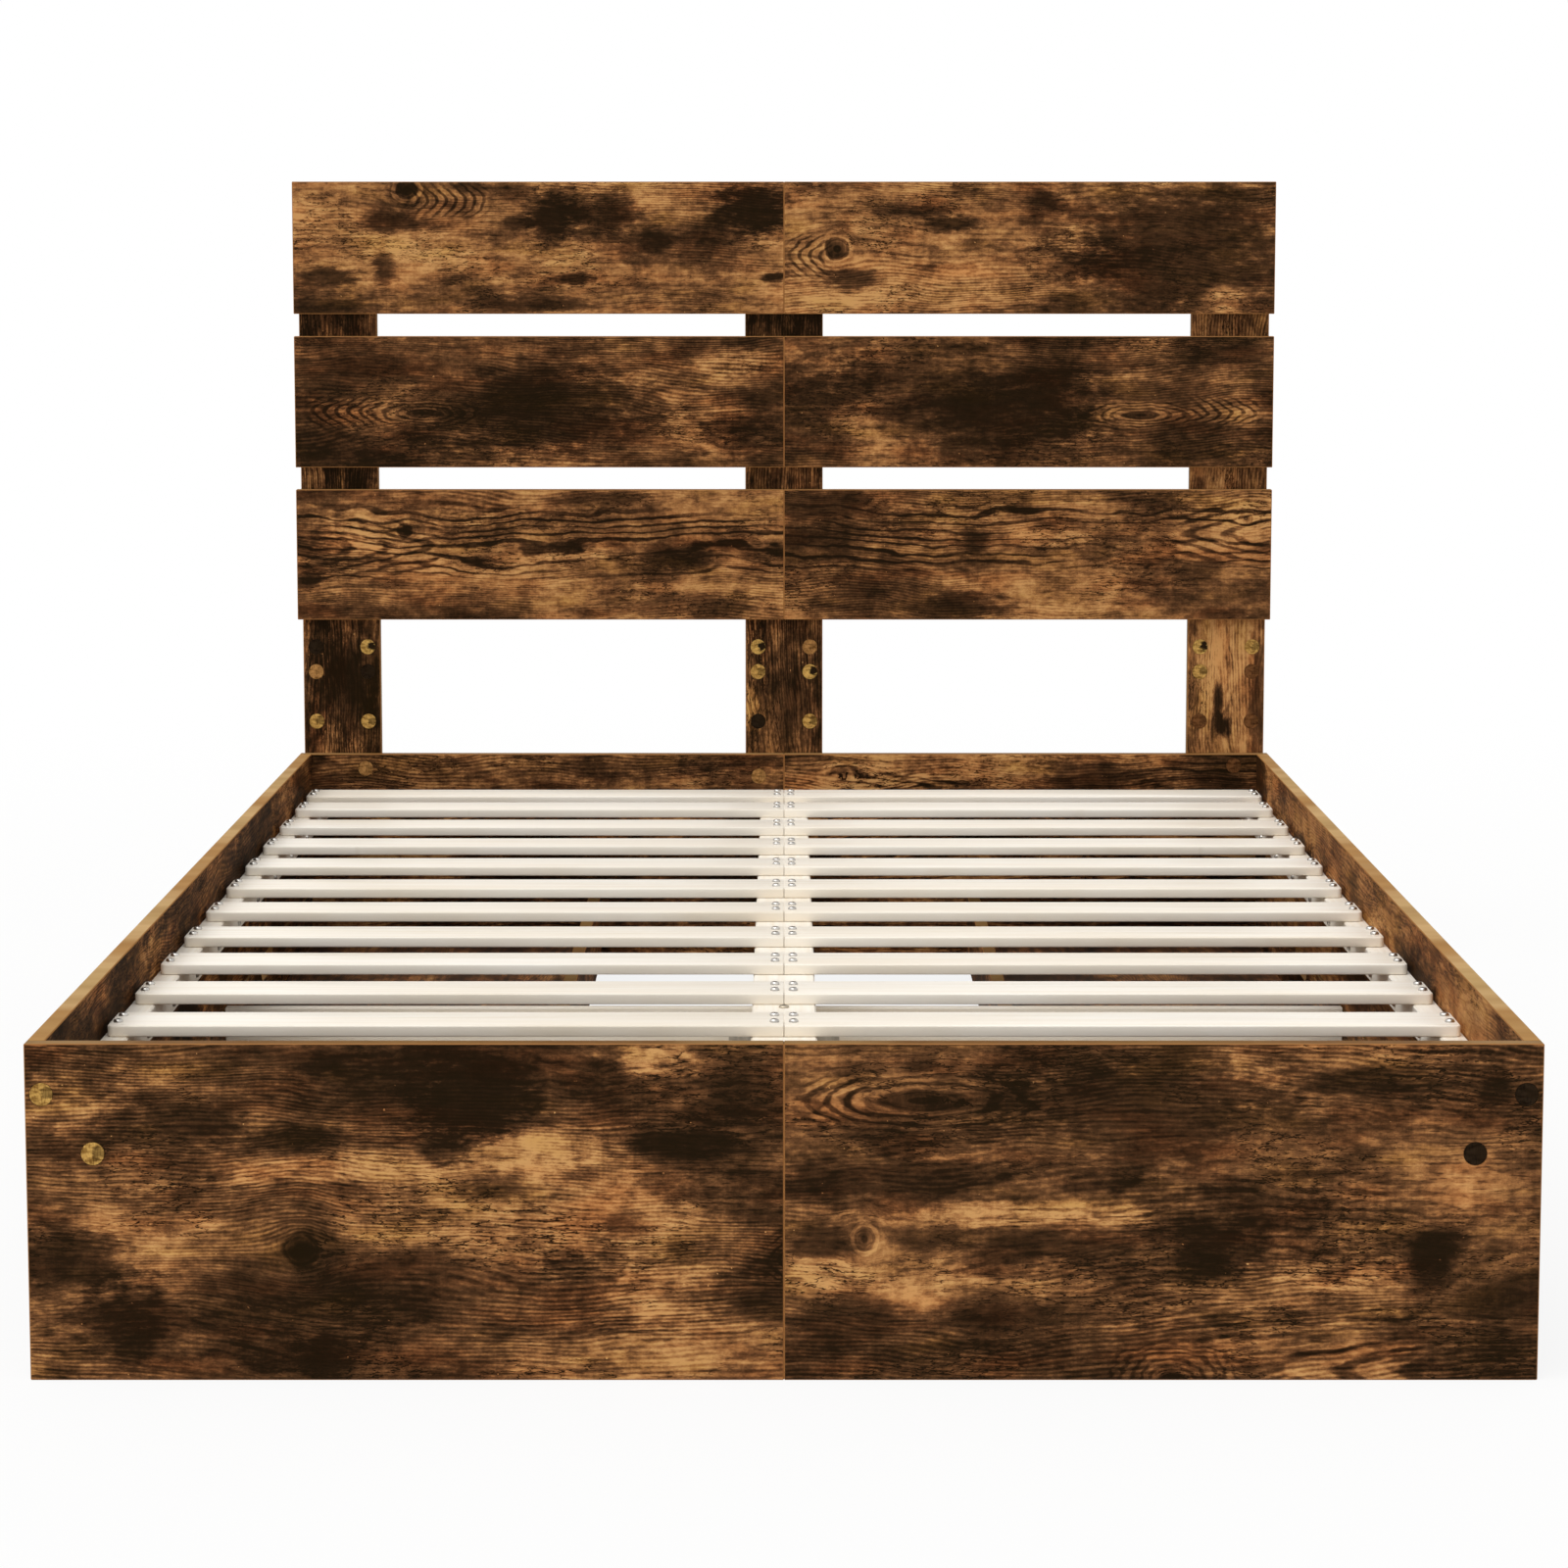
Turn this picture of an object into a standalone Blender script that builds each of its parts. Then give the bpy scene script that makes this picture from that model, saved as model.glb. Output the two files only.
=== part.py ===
"""Storage bed: a board frame with a slatted headboard, a slat base on a centre beam, and four drawers
on rollers. Metres, +Z up, foot end towards -Y, origin on the floor under the middle of the bed."""

import math

import bmesh
import bpy
from mathutils import Matrix, Vector

# Sizes of the whole bed
OUTER_WIDTH = 1.235
FRAME_LENGTH = 2.030
FRAME_HEIGHT = 0.280
BED_HEIGHT = 1.003
BOARD = 0.015
BOARD_EDGE = 0.0008
SEAT_GAP = 0.0003

# Side rails and the headboard
RAIL_HEIGHT = 0.172
ROW_COUNT = 3
ROW_HEIGHT = 0.165
ROW_GAP = 0.028
POST_WIDTH = 0.098
POST_INSET = 0.005
POST_TOP_SETBACK = 0.012

# Slats, and the beam and battens that carry them
SLAT_COUNT = 12
SLAT_DROP = 0.040
SLAT_WIDTH = 0.070
SLAT_THICKNESS = 0.010
SLAT_ROUNDING = 0.003
SLAT_END_GAP = 0.0048
FIRST_SLAT_SETBACK = 0.1225
LAST_SLAT_SETBACK = 0.044
LAST_SLAT_STEP = 0.124
BATTEN_WIDTH = 0.0234
BATTEN_HEIGHT = 0.0284
BEAM_WIDTH = 0.0585
BEAM_HEIGHT = 0.028
TIMBER_EDGE = 0.0015

# Legs under the beam, and the two cross panels at mid-length
LEG_SIZE = 0.045
LEG_SLAT_SETBACK = 0.013
LEG_JOINT_DEPTH = 0.005
PANEL_SPREAD = 0.270

# Drawers
DRAWER_REACH = 0.384
DRAWER_FRONT_GAP = 0.002
DRAWER_FRONTS_GAP = 0.003
DRAWER_BOX_GAP = 0.004
DRAWER_TOP_GAP = 0.003
DRAWER_FLOOR_GAP = 0.008
DRAWER_WALL_TOP_GAP = 0.006
DRAWER_BACK_LIFT = 0.018
DRAWER_END_LIFT = 0.006
DRAWER_BOTTOM = 0.005
DRAWER_BOTTOM_LIFT = 0.034
DRAWER_BOTTOM_TONGUE = 0.005
NOTCH_WIDTH = 0.110
NOTCH_DEPTH = 0.026
NOTCH_ROUNDING = 0.018
NOTCH_ARC_STEPS = 4

# Rollers under the drawers, two on each axle
ROLLER_RADIUS = 0.015
ROLLER_WIDTH = 0.014
ROLLER_EDGE = 0.0015
ROLLER_INSET = 0.045
ROLLER_WALL_GAP = 0.003
AXLE_RADIUS = 0.004
AXLE_GAP = 0.0003
AXLE_END_SETBACK = 0.002
ROUND_SIDES = 24

# One overrun serves every cutter, and one distance merges points on a turning axis
OVERRUN = 0.010
MERGE_DISTANCE = 0.00001

# Places worked out from the sizes
HALF_WIDTH = OUTER_WIDTH / 2
RAIL_INNER = HALF_WIDTH - BOARD
RAIL_BOTTOM = FRAME_HEIGHT - RAIL_HEIGHT
TOTAL_LENGTH = FRAME_LENGTH + SEAT_GAP + BOARD
FOOT_FRONT = -TOTAL_LENGTH / 2
FOOT_BACK = FOOT_FRONT + BOARD
HEAD_BACK = FOOT_FRONT + FRAME_LENGTH
HEAD_FRONT = HEAD_BACK - BOARD
POST_FRONT = HEAD_BACK + SEAT_GAP
POST_BACK = POST_FRONT + BOARD
MIDDLE = (FOOT_BACK + HEAD_FRONT) / 2
SLAT_TOP = FRAME_HEIGHT - SLAT_DROP
SLAT_UNDER = SLAT_TOP - SLAT_THICKNESS
BATTEN_TOP = SLAT_UNDER - SEAT_GAP
BEAM_UNDER = BATTEN_TOP - BEAM_HEIGHT
SUPPORT_TOP = BEAM_UNDER - SEAT_GAP
SIDES = {"left": -1, "right": 1}
ENDS = ("foot", "head")

# Finishes as colour, roughness and metallic value
SMOKED_OAK = ((0.16, 0.085, 0.035), 0.55, 0.0)
CREAM_TIMBER = ((0.90, 0.84, 0.74), 0.50, 0.0)
HARDBOARD = ((0.30, 0.17, 0.08), 0.60, 0.0)
DARK_ROLLER = ((0.05, 0.05, 0.05), 0.45, 0.0)


# Helpers that turn shapes into parts of the bed

def clear_scene():
    """Start from an empty scene."""
    for old in list(bpy.data.objects):
        bpy.data.objects.remove(old)


def part_material(name, finish):
    """Principled material of one part."""
    colour, roughness, metallic = finish
    material = bpy.data.materials.new(name + "_finish")
    material.use_nodes = True
    shader = material.node_tree.nodes["Principled BSDF"]
    shader.inputs["Base Color"].default_value = (*colour, 1.0)
    shader.inputs["Roughness"].default_value = roughness
    shader.inputs["Metallic"].default_value = metallic
    return material


def add_part(name, bm, finish, at=(0, 0, 0), parent=None, round_piece=False):
    """Object from a bmesh that is drawn around `at`, optionally hung on an empty."""
    bmesh.ops.recalc_face_normals(bm, faces=bm.faces)
    mesh = bpy.data.meshes.new(name)
    bm.to_mesh(mesh)
    bm.free()
    if round_piece:
        mesh.shade_smooth()
        mesh.set_sharp_from_angle(angle=math.radians(40))
    mesh.materials.append(part_material(name, finish))
    part = bpy.data.objects.new(name, mesh)
    bpy.context.collection.objects.link(part)
    part.location = at
    if parent:
        part.parent = parent
        part.location = Vector(at) - parent.location
    return part


def bevel_edges(bm, edges, width, segments=1):
    """Break or round a set of edges."""
    bmesh.ops.bevel(bm, geom=edges, offset=width, segments=segments, affect="EDGES",
                    profile=0.5, material=-1)


def middle_of(low, high):
    """Point half way between two corners."""
    return (Vector(low) + Vector(high)) / 2


def ordered(xs, ys, zs):
    """Lowest and highest corner from three pairs given in any order."""
    low = Vector((min(xs), min(ys), min(zs)))
    high = Vector((max(xs), max(ys), max(zs)))
    return low, high


def block_shape(low, high, edge, about):
    """Bmesh of one block with broken edges, drawn around the point `about`."""
    bm = bmesh.new()
    place = Matrix.Translation(middle_of(low, high) - Vector(about))
    bmesh.ops.create_cube(bm, size=1, matrix=place @ Matrix.Diagonal((*(high - low), 1)))
    if edge:
        bevel_edges(bm, bm.edges[:], edge)
    return bm


def add_block(name, xs, ys, zs, finish, edge=BOARD_EDGE, parent=None):
    """One block as a part, placed by its middle."""
    low, high = ordered(xs, ys, zs)
    at = middle_of(low, high)
    return add_part(name, block_shape(low, high, edge, at), finish, at, parent)


def extruded_shape(outline, thickness):
    """Bmesh of a closed outline of 3-D points, grown by a thickness vector."""
    bm = bmesh.new()
    face = bm.faces.new([bm.verts.new(point) for point in outline])
    grow(bm, [face], thickness)
    return bm


def grow(bm, faces, thickness):
    """Extrude faces along a vector."""
    grown = bmesh.ops.extrude_face_region(bm, geom=faces)["geom"]
    bmesh.ops.translate(bm, verts=[item for item in grown if isinstance(item, bmesh.types.BMVert)],
                        vec=thickness)


def turned_shape(outline):
    """Bmesh turned about Y from (radius, distance) points that start and end on the axis."""
    bm = bmesh.new()
    points = [bm.verts.new((0, distance, -radius)) for radius, distance in outline]
    edges = [bm.edges.new(pair) for pair in zip(points, points[1:])]
    bmesh.ops.spin(bm, geom=points + edges, cent=(0, 0, 0), axis=(0, 1, 0), angle=math.tau,
                   steps=ROUND_SIDES, use_merge=True)
    bmesh.ops.remove_doubles(bm, verts=bm.verts, dist=MERGE_DISTANCE)
    return bm


def cut(part, xs, ys, zs):
    """Cut a box out of a part."""
    low, high = ordered(xs, ys, zs)
    combine(part, block_shape(low, high, 0, (0, 0, 0)), "DIFFERENCE")


def combine(part, bm, operation):
    """Cut a bmesh in bed coordinates out of a part, or join it on, with a hidden helper."""
    mesh = bpy.data.meshes.new(part.name + "_helper")
    bmesh.ops.recalc_face_normals(bm, faces=bm.faces)
    bm.to_mesh(mesh)
    bm.free()
    helper = bpy.data.objects.new(mesh.name, mesh)
    bpy.context.collection.objects.link(helper)
    helper.hide_render = True
    helper.display_type = "WIRE"
    modifier = part.modifiers.new("combine", "BOOLEAN")
    modifier.operation = operation
    modifier.solver = "EXACT"
    modifier.object = helper


# Board frame

def build_end_boards():
    """Footboard and head rail, each in two halves that meet on the centre line."""
    for side, sign in SIDES.items():
        xs = (sign * SEAT_GAP / 2, sign * HALF_WIDTH)
        add_block("footboard_" + side, xs, (FOOT_FRONT, FOOT_BACK), (0, FRAME_HEIGHT), SMOKED_OAK)
        add_block("head_rail_" + side, xs, (HEAD_FRONT, HEAD_BACK), (0, FRAME_HEIGHT), SMOKED_OAK)


def build_side_rails():
    """Side rails between the end boards."""
    for side, sign in SIDES.items():
        add_block("side_rail_" + side, (sign * RAIL_INNER, sign * HALF_WIDTH),
                  (FOOT_BACK + SEAT_GAP, HEAD_FRONT - SEAT_GAP), (RAIL_BOTTOM, FRAME_HEIGHT),
                  SMOKED_OAK)


# Headboard

def post_centres():
    """Middle of each headboard post across the bed."""
    reach = HALF_WIDTH - POST_INSET - POST_WIDTH / 2
    return {"left": -reach, "centre": 0, "right": reach}


def build_posts():
    """Three posts behind the head rail, from the floor to just under the top edge."""
    for place, x in post_centres().items():
        add_block("post_" + place, (x - POST_WIDTH / 2, x + POST_WIDTH / 2), (POST_FRONT, POST_BACK),
                  (0, BED_HEIGHT - POST_TOP_SETBACK), SMOKED_OAK)


def row_bottoms():
    """Bottom edge of each headboard row, from the top row down."""
    return [BED_HEIGHT - ROW_HEIGHT - number * (ROW_HEIGHT + ROW_GAP) for number in range(ROW_COUNT)]


def build_headboard_rows():
    """Two half boards in each row, on the front of the posts."""
    for row, bottom in enumerate(row_bottoms(), start=1):
        for side, sign in SIDES.items():
            add_block(f"headboard_row_{row}_{side}", (sign * SEAT_GAP / 2, sign * HALF_WIDTH),
                      (HEAD_FRONT, HEAD_BACK), (bottom, bottom + ROW_HEIGHT), SMOKED_OAK)


# Slat base and the legs and panels under it

def slat_fronts():
    """Front edge of every slat: even steps, then one shorter step beside the head rail."""
    first = FOOT_BACK + FIRST_SLAT_SETBACK
    last = HEAD_FRONT - LAST_SLAT_SETBACK - SLAT_WIDTH
    step = (last - LAST_SLAT_STEP - first) / (SLAT_COUNT - 2)
    return [first + step * number for number in range(SLAT_COUNT - 1)] + [last]


def build_slats():
    """Slats with rounded long edges, screwed down on the battens and the centre beam."""
    reach = RAIL_INNER - SLAT_END_GAP
    for number, front in enumerate(slat_fronts(), start=1):
        low, high = ordered((-reach, reach), (front, front + SLAT_WIDTH), (SLAT_UNDER, SLAT_TOP))
        at = middle_of(low, high)
        bm = block_shape(low, high, 0, at)
        lengthwise = [edge for edge in bm.edges if edge.calc_length() > reach]
        bevel_edges(bm, lengthwise, SLAT_ROUNDING, segments=3)
        add_part(f"slat_{number:02d}", bm, CREAM_TIMBER, at)


def build_battens():
    """Battens along the side rails, under the slat ends."""
    outer = RAIL_INNER - SEAT_GAP
    for side, sign in SIDES.items():
        add_block("slat_batten_" + side, (sign * (outer - BATTEN_WIDTH), sign * outer),
                  (FOOT_BACK + SEAT_GAP, HEAD_FRONT - SEAT_GAP), (BATTEN_TOP - BATTEN_HEIGHT, BATTEN_TOP),
                  CREAM_TIMBER, TIMBER_EDGE)


def join_leg(part, ys, top):
    """Join a square leg that stands on the floor under the middle of the bed to a part."""
    low, high = ordered((-LEG_SIZE / 2, LEG_SIZE / 2), ys, (0, top))
    combine(part, block_shape(low, high, TIMBER_EDGE, (0, 0, 0)), "UNION")


def build_centre_beam():
    """Centre beam from end board to end board, with the leg that is bolted under its foot half."""
    beam = add_block("centre_beam", (-BEAM_WIDTH / 2, BEAM_WIDTH / 2),
                     (FOOT_BACK + SEAT_GAP, HEAD_FRONT - SEAT_GAP), (BEAM_UNDER, BATTEN_TOP),
                     CREAM_TIMBER, TIMBER_EDGE)
    bolt = slat_fronts()[2] - LEG_SLAT_SETBACK
    join_leg(beam, (bolt - LEG_SIZE / 2, bolt + LEG_SIZE / 2), BEAM_UNDER + LEG_JOINT_DEPTH)


def panel_faces():
    """Outer face of each support panel along the bed."""
    return {"foot": MIDDLE - PANEL_SPREAD / 2, "head": MIDDLE + PANEL_SPREAD / 2}


def build_support_panels():
    """Two cross panels at mid-length, each with a leg between the panels that carries the beam."""
    reach = RAIL_INNER - SEAT_GAP
    for end, face in panel_faces().items():
        inward = 1 if end == "foot" else -1
        inner = face + inward * BOARD
        panel = add_block("support_panel_" + end, (-reach, reach), (face, inner), (0, RAIL_BOTTOM),
                          CREAM_TIMBER)
        leg_ys = (inner - inward * LEG_JOINT_DEPTH, inner + inward * LEG_SIZE)
        join_leg(panel, leg_ys, SUPPORT_TOP)


# Drawers

def drawer_spans(end):
    """Ends along the bed of a drawer's front, which covers a support panel's end, and of its box."""
    panel = panel_faces()[end]
    meeting = DRAWER_FRONTS_GAP / 2
    if end == "foot":
        front = (FOOT_BACK + DRAWER_FRONT_GAP, MIDDLE - meeting)
        return front, (FOOT_BACK + DRAWER_BOX_GAP, panel - DRAWER_BOX_GAP)
    front = (MIDDLE + meeting, HEAD_FRONT - DRAWER_FRONT_GAP)
    return front, (panel + DRAWER_BOX_GAP, HEAD_FRONT - DRAWER_BOX_GAP)


def front_shape(low, high, about):
    """Drawer front with a rounded finger notch in its top edge."""
    outline = [(low.y, low.z), (high.y, low.z), (high.y, high.z)]
    outline += notch_outline((low.y + high.y) / 2, high.z)
    outline += [(low.y, high.z)]
    points = [Vector((low.x, y, z)) - about for y, z in outline]
    return extruded_shape(points, (high.x - low.x, 0, 0))


def notch_outline(middle, top):
    """Points of the notch from its +Y corner down, across and up to its -Y corner."""
    half = NOTCH_WIDTH / 2
    rounding = min(NOTCH_ROUNDING, NOTCH_DEPTH, half)
    floor = top - NOTCH_DEPTH
    points = [(middle + half, top)]
    for sign in (1, -1):
        turn = [math.radians(90) * step / NOTCH_ARC_STEPS for step in range(NOTCH_ARC_STEPS + 1)]
        arc = [(middle + sign * (half - rounding + rounding * math.cos(angle)),
                floor + rounding - rounding * math.sin(angle)) for angle in turn]
        points += arc if sign > 0 else arc[::-1]
    points.append((middle - half, top))
    return points


def axle_shape(half_length, roller_end):
    """Steel axle with a roller near each end, turned as one piece about Y."""
    near = roller_end - ROLLER_WIDTH
    half = [(AXLE_RADIUS, near), (ROLLER_RADIUS - ROLLER_EDGE, near), (ROLLER_RADIUS, near + ROLLER_EDGE),
            (ROLLER_RADIUS, roller_end - ROLLER_EDGE), (ROLLER_RADIUS - ROLLER_EDGE, roller_end),
            (AXLE_RADIUS, roller_end), (AXLE_RADIUS, half_length), (0, half_length)]
    mirrored = [(radius, -distance) for radius, distance in reversed(half)]
    return turned_shape(mirrored + half)


def axle_hole(x, ys):
    """Cutter for an axle's hole through both end walls."""
    bm = bmesh.new()
    turn = Matrix.Rotation(math.radians(90), 4, "X")
    place = Matrix.Translation((x, (ys[0] + ys[1]) / 2, ROLLER_RADIUS)) @ turn
    radius = AXLE_RADIUS + AXLE_GAP
    bmesh.ops.create_cone(bm, cap_ends=True, segments=ROUND_SIDES, radius1=radius, radius2=radius,
                          depth=ys[1] - ys[0] + OVERRUN, matrix=place)
    return bm


def build_drawer_walls(name, sign, box_ys, back_outer, home):
    """Back and two end walls of a drawer."""
    back_inner = back_outer + BOARD
    top = RAIL_BOTTOM - DRAWER_WALL_TOP_GAP
    walls = [add_block(name + "_back", (sign * back_outer, sign * back_inner), box_ys,
                       (DRAWER_BACK_LIFT, top), SMOKED_OAK, parent=home)]
    end_xs = (sign * (back_inner + SEAT_GAP), sign * (RAIL_INNER - SEAT_GAP))
    for end, outer, inward in (("foot_wall", box_ys[0], 1), ("head_wall", box_ys[1], -1)):
        walls.append(add_block(f"{name}_{end}", end_xs, (outer, outer + inward * BOARD),
                               (DRAWER_END_LIFT, top), SMOKED_OAK, parent=home))
    return walls


def build_rollers(name, sign, lines, box_ys, walls, home):
    """Roller axles under a drawer, in holes through its end walls."""
    middle = (box_ys[0] + box_ys[1]) / 2
    half_box = (box_ys[1] - box_ys[0]) / 2
    shape = (half_box - AXLE_END_SETBACK, half_box - BOARD - ROLLER_WALL_GAP)
    for line, reach in lines.items():
        at = Vector((sign * reach, middle, ROLLER_RADIUS))
        add_part(f"{name}_rollers_{line}", axle_shape(*shape), DARK_ROLLER, at, home, round_piece=True)
        for wall in walls:
            combine(wall, axle_hole(sign * reach, box_ys), "DIFFERENCE")


def build_bottom(name, sign, back_inner, box_ys, boards, home):
    """Bottom panel of a drawer, in a groove all round."""
    tongue_xs = (back_inner - DRAWER_BOTTOM_TONGUE, RAIL_INNER + DRAWER_BOTTOM_TONGUE)
    setback = BOARD - DRAWER_BOTTOM_TONGUE
    tongue_ys = (box_ys[0] + setback, box_ys[1] - setback)
    zs = (DRAWER_BOTTOM_LIFT, DRAWER_BOTTOM_LIFT + DRAWER_BOTTOM)
    add_block(name + "_bottom", (sign * tongue_xs[0], sign * tongue_xs[1]), tongue_ys, zs, HARDBOARD,
              0, home)
    for board in boards:
        cut(board, (sign * (tongue_xs[0] - SEAT_GAP), sign * (tongue_xs[1] + SEAT_GAP)),
            (tongue_ys[0] - SEAT_GAP, tongue_ys[1] + SEAT_GAP), (zs[0] - SEAT_GAP, zs[1] + SEAT_GAP))


def build_drawer(side, end):
    """One drawer: front, back, two end walls, bottom and roller axles, hung on an empty that slides."""
    sign = SIDES[side]
    name = f"drawer_{side}_{end}"
    front_ys, box_ys = drawer_spans(end)
    back_outer = HALF_WIDTH - DRAWER_REACH
    back_inner = back_outer + BOARD
    home = bpy.data.objects.new(name + "_slide", None)
    bpy.context.collection.objects.link(home)
    home.location = (sign * HALF_WIDTH, (box_ys[0] + box_ys[1]) / 2, DRAWER_BOTTOM_LIFT)

    low, high = ordered((sign * RAIL_INNER, sign * HALF_WIDTH), front_ys,
                        (DRAWER_FLOOR_GAP, RAIL_BOTTOM - DRAWER_TOP_GAP))
    at = middle_of(low, high)
    front = add_part(name + "_front", front_shape(low, high, at), SMOKED_OAK, at, home)
    walls = build_drawer_walls(name, sign, box_ys, back_outer, home)
    build_bottom(name, sign, back_inner, box_ys, [front] + walls, home)
    lines = {"outer": RAIL_INNER - ROLLER_INSET, "inner": back_inner + ROLLER_INSET}
    build_rollers(name, sign, lines, box_ys, walls[1:], home)


def build_bed():
    """Every part of the bed."""
    clear_scene()
    build_end_boards()
    build_side_rails()
    build_posts()
    build_headboard_rows()
    build_slats()
    build_battens()
    build_centre_beam()
    build_support_panels()
    for side in SIDES:
        for end in ENDS:
            build_drawer(side, end)


build_bed()
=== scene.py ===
# %% [markdown]
# # A storage bed in smoked-oak print
#
# The CAD model already holds every board at its real size and place. This script dresses it: printed
# board faces, edge banding, cream slats, screws, cover caps, rollers, light and a camera.

# %% Load the frame
import math

import bmesh
import bpy
from bmesh.geometry import intersect_face_point
from mathutils import Matrix, Vector


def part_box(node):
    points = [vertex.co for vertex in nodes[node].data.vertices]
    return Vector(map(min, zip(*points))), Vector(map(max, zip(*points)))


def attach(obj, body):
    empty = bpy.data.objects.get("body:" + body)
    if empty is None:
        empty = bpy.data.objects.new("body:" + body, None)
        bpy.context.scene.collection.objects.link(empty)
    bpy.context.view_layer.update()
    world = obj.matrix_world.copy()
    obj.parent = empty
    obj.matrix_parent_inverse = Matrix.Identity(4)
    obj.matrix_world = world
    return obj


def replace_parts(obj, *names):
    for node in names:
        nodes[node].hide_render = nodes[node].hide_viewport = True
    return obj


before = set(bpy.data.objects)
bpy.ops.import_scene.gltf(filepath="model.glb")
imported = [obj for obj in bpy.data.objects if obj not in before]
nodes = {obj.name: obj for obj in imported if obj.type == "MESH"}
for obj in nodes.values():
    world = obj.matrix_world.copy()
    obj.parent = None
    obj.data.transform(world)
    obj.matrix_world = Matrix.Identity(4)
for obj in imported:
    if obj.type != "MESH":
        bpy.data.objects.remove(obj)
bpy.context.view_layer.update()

# %% [markdown]
# Measuring the photograph gives the camera. It looks straight at the foot end from a little under a
# metre high, slightly downwards, through a long lens, so that the rails converge only slowly.

# %% Camera
CAMERA_BACK = 4.4734
CAMERA_HEIGHT = 0.9219
CAMERA_PITCH = math.radians(7.094)
CAMERA_LENS = 99.11
CAMERA_SENSOR = 36.0
ROOM_SIZE = 60.0


def new_object(name, data):
    """Object in the scene."""
    thing = bpy.data.objects.new(name, data)
    bpy.context.scene.collection.objects.link(thing)
    return thing


camera_data = bpy.data.cameras.new("photo_camera")
camera_data.lens = CAMERA_LENS
camera_data.sensor_width = CAMERA_SENSOR
camera_data.clip_end = ROOM_SIZE
camera = new_object("photo_camera", camera_data)
camera.location = (0, -CAMERA_BACK, CAMERA_HEIGHT)
camera.rotation_euler = (math.radians(90) - CAMERA_PITCH, 0, 0)
bpy.context.scene.camera = camera
bpy.context.scene.view_settings.view_transform = "Standard"
print("view angle:", round(math.degrees(camera_data.angle), 1), "degrees")

# %% [markdown]
# Patterns are built from shader nodes, and they are easiest to read as arithmetic. A Wire stands for
# the output of a node, and adding or multiplying wires adds the Math nodes that do it.

# %% Wires between shader nodes
class Wire:
    """Output of a shader node. Arithmetic with it adds Math nodes."""

    def __init__(self, node, output=0):
        self.socket = node.outputs[output]
        self.tree = node.id_data

    def __add__(self, other):
        return maths("ADD", self, other)

    def __radd__(self, other):
        return maths("ADD", other, self)

    def __sub__(self, other):
        return maths("SUBTRACT", self, other)

    def __rsub__(self, other):
        return maths("SUBTRACT", other, self)

    def __mul__(self, other):
        return maths("MULTIPLY", self, other)

    def __truediv__(self, other):
        return maths("DIVIDE", self, other)

    def __abs__(self):
        return maths("ABSOLUTE", self)


def connect(node, inputs):
    """Join a node's inputs to wires, or give them values."""
    for key, value in inputs.items():
        if isinstance(value, Wire):
            value.tree.links.new(value.socket, node.inputs[key])
        else:
            node.inputs[key].default_value = value


def add(kind, inputs, **settings):
    """Node with its settings and inputs, in the tree of the first wire among them."""
    tree = next(value.tree for value in inputs.values() if isinstance(value, Wire))
    node = tree.nodes.new(kind)
    for name, value in settings.items():
        setattr(node, name, value)
    connect(node, inputs)
    return node


def maths(operation, *values):
    """One Math node."""
    return Wire(add("ShaderNodeMath", dict(enumerate(values)), operation=operation))

# %% [markdown]
# Each of these helpers adds one kind of node in a single line. linear() turns the 0 to 255 colours of a
# picture into the linear ones that shaders use, by the formula of the sRGB standard. A Mix node keeps
# its colours at socket numbers of their own, because it has sockets of the same name for other data.

# %% Helpers for shader nodes
MIX_SHARE = 0
MIX_FIRST = 6
MIX_SECOND = 7
MIX_RESULT = 2


def linear(red, green, blue):
    """Linear colour from the 0 to 255 values that a picture shows."""
    shares = (red / 255, green / 255, blue / 255)
    return (*[s / 12.92 if s <= 0.04045 else ((s + 0.055) / 1.055) ** 2.4 for s in shares], 1.0)


def vector_maths(operation, *values, output=0):
    """One Vector Math node."""
    return Wire(add("ShaderNodeVectorMath", dict(enumerate(values)), operation=operation), output)


def split(vector):
    """X, Y and Z of a vector, by name."""
    node = add("ShaderNodeSeparateXYZ", {"Vector": vector})
    return {axis: Wire(node, axis) for axis in "XYZ"}


def combine(**parts):
    """Vector from parts called X, Y and Z."""
    return Wire(add("ShaderNodeCombineXYZ", parts))


def smooth_step(value, start, end):
    """0 before start and 1 after end, with a soft turn between them."""
    return Wire(add("ShaderNodeMapRange", {"Value": value, "From Min": start, "From Max": end},
                    interpolation_type="SMOOTHSTEP"))


def fall(value, start, end):
    """1 before start and 0 after end."""
    return 1.0 - smooth_step(value, start, end)


def mix_colour(share, first, second, blend_type="MIX"):
    """Colour between two colours."""
    inputs = {MIX_SHARE: share, MIX_FIRST: first, MIX_SECOND: second}
    return Wire(add("ShaderNodeMix", inputs, data_type="RGBA", blend_type=blend_type), MIX_RESULT)


def tint(share, colour, film):
    """Colour under a share of a coloured film."""
    return mix_colour(share, colour, film, "MULTIPLY")


def ramp(share, stops):
    """Colour ramp from (place, colour) stops."""
    node = add("ShaderNodeValToRGB", {"Fac": share})
    elements = node.color_ramp.elements
    while len(elements) < len(stops):
        elements.new(0.5)
    for element, (place, colour) in zip(elements, stops):
        element.position = place
        element.color = colour
    return Wire(node)


def bump(height, strength, distance):
    """Relief from a height."""
    return Wire(add("ShaderNodeBump", {"Height": height, "Strength": strength, "Distance": distance}))


print("picture grey 128 as a linear value:", round(linear(128, 128, 128)[0], 3))

# %% [markdown]
# A pattern that several materials share is a node group, built once and placed in each of them with its
# own values. These helpers start and finish a group, place it, and start a material.

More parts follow.
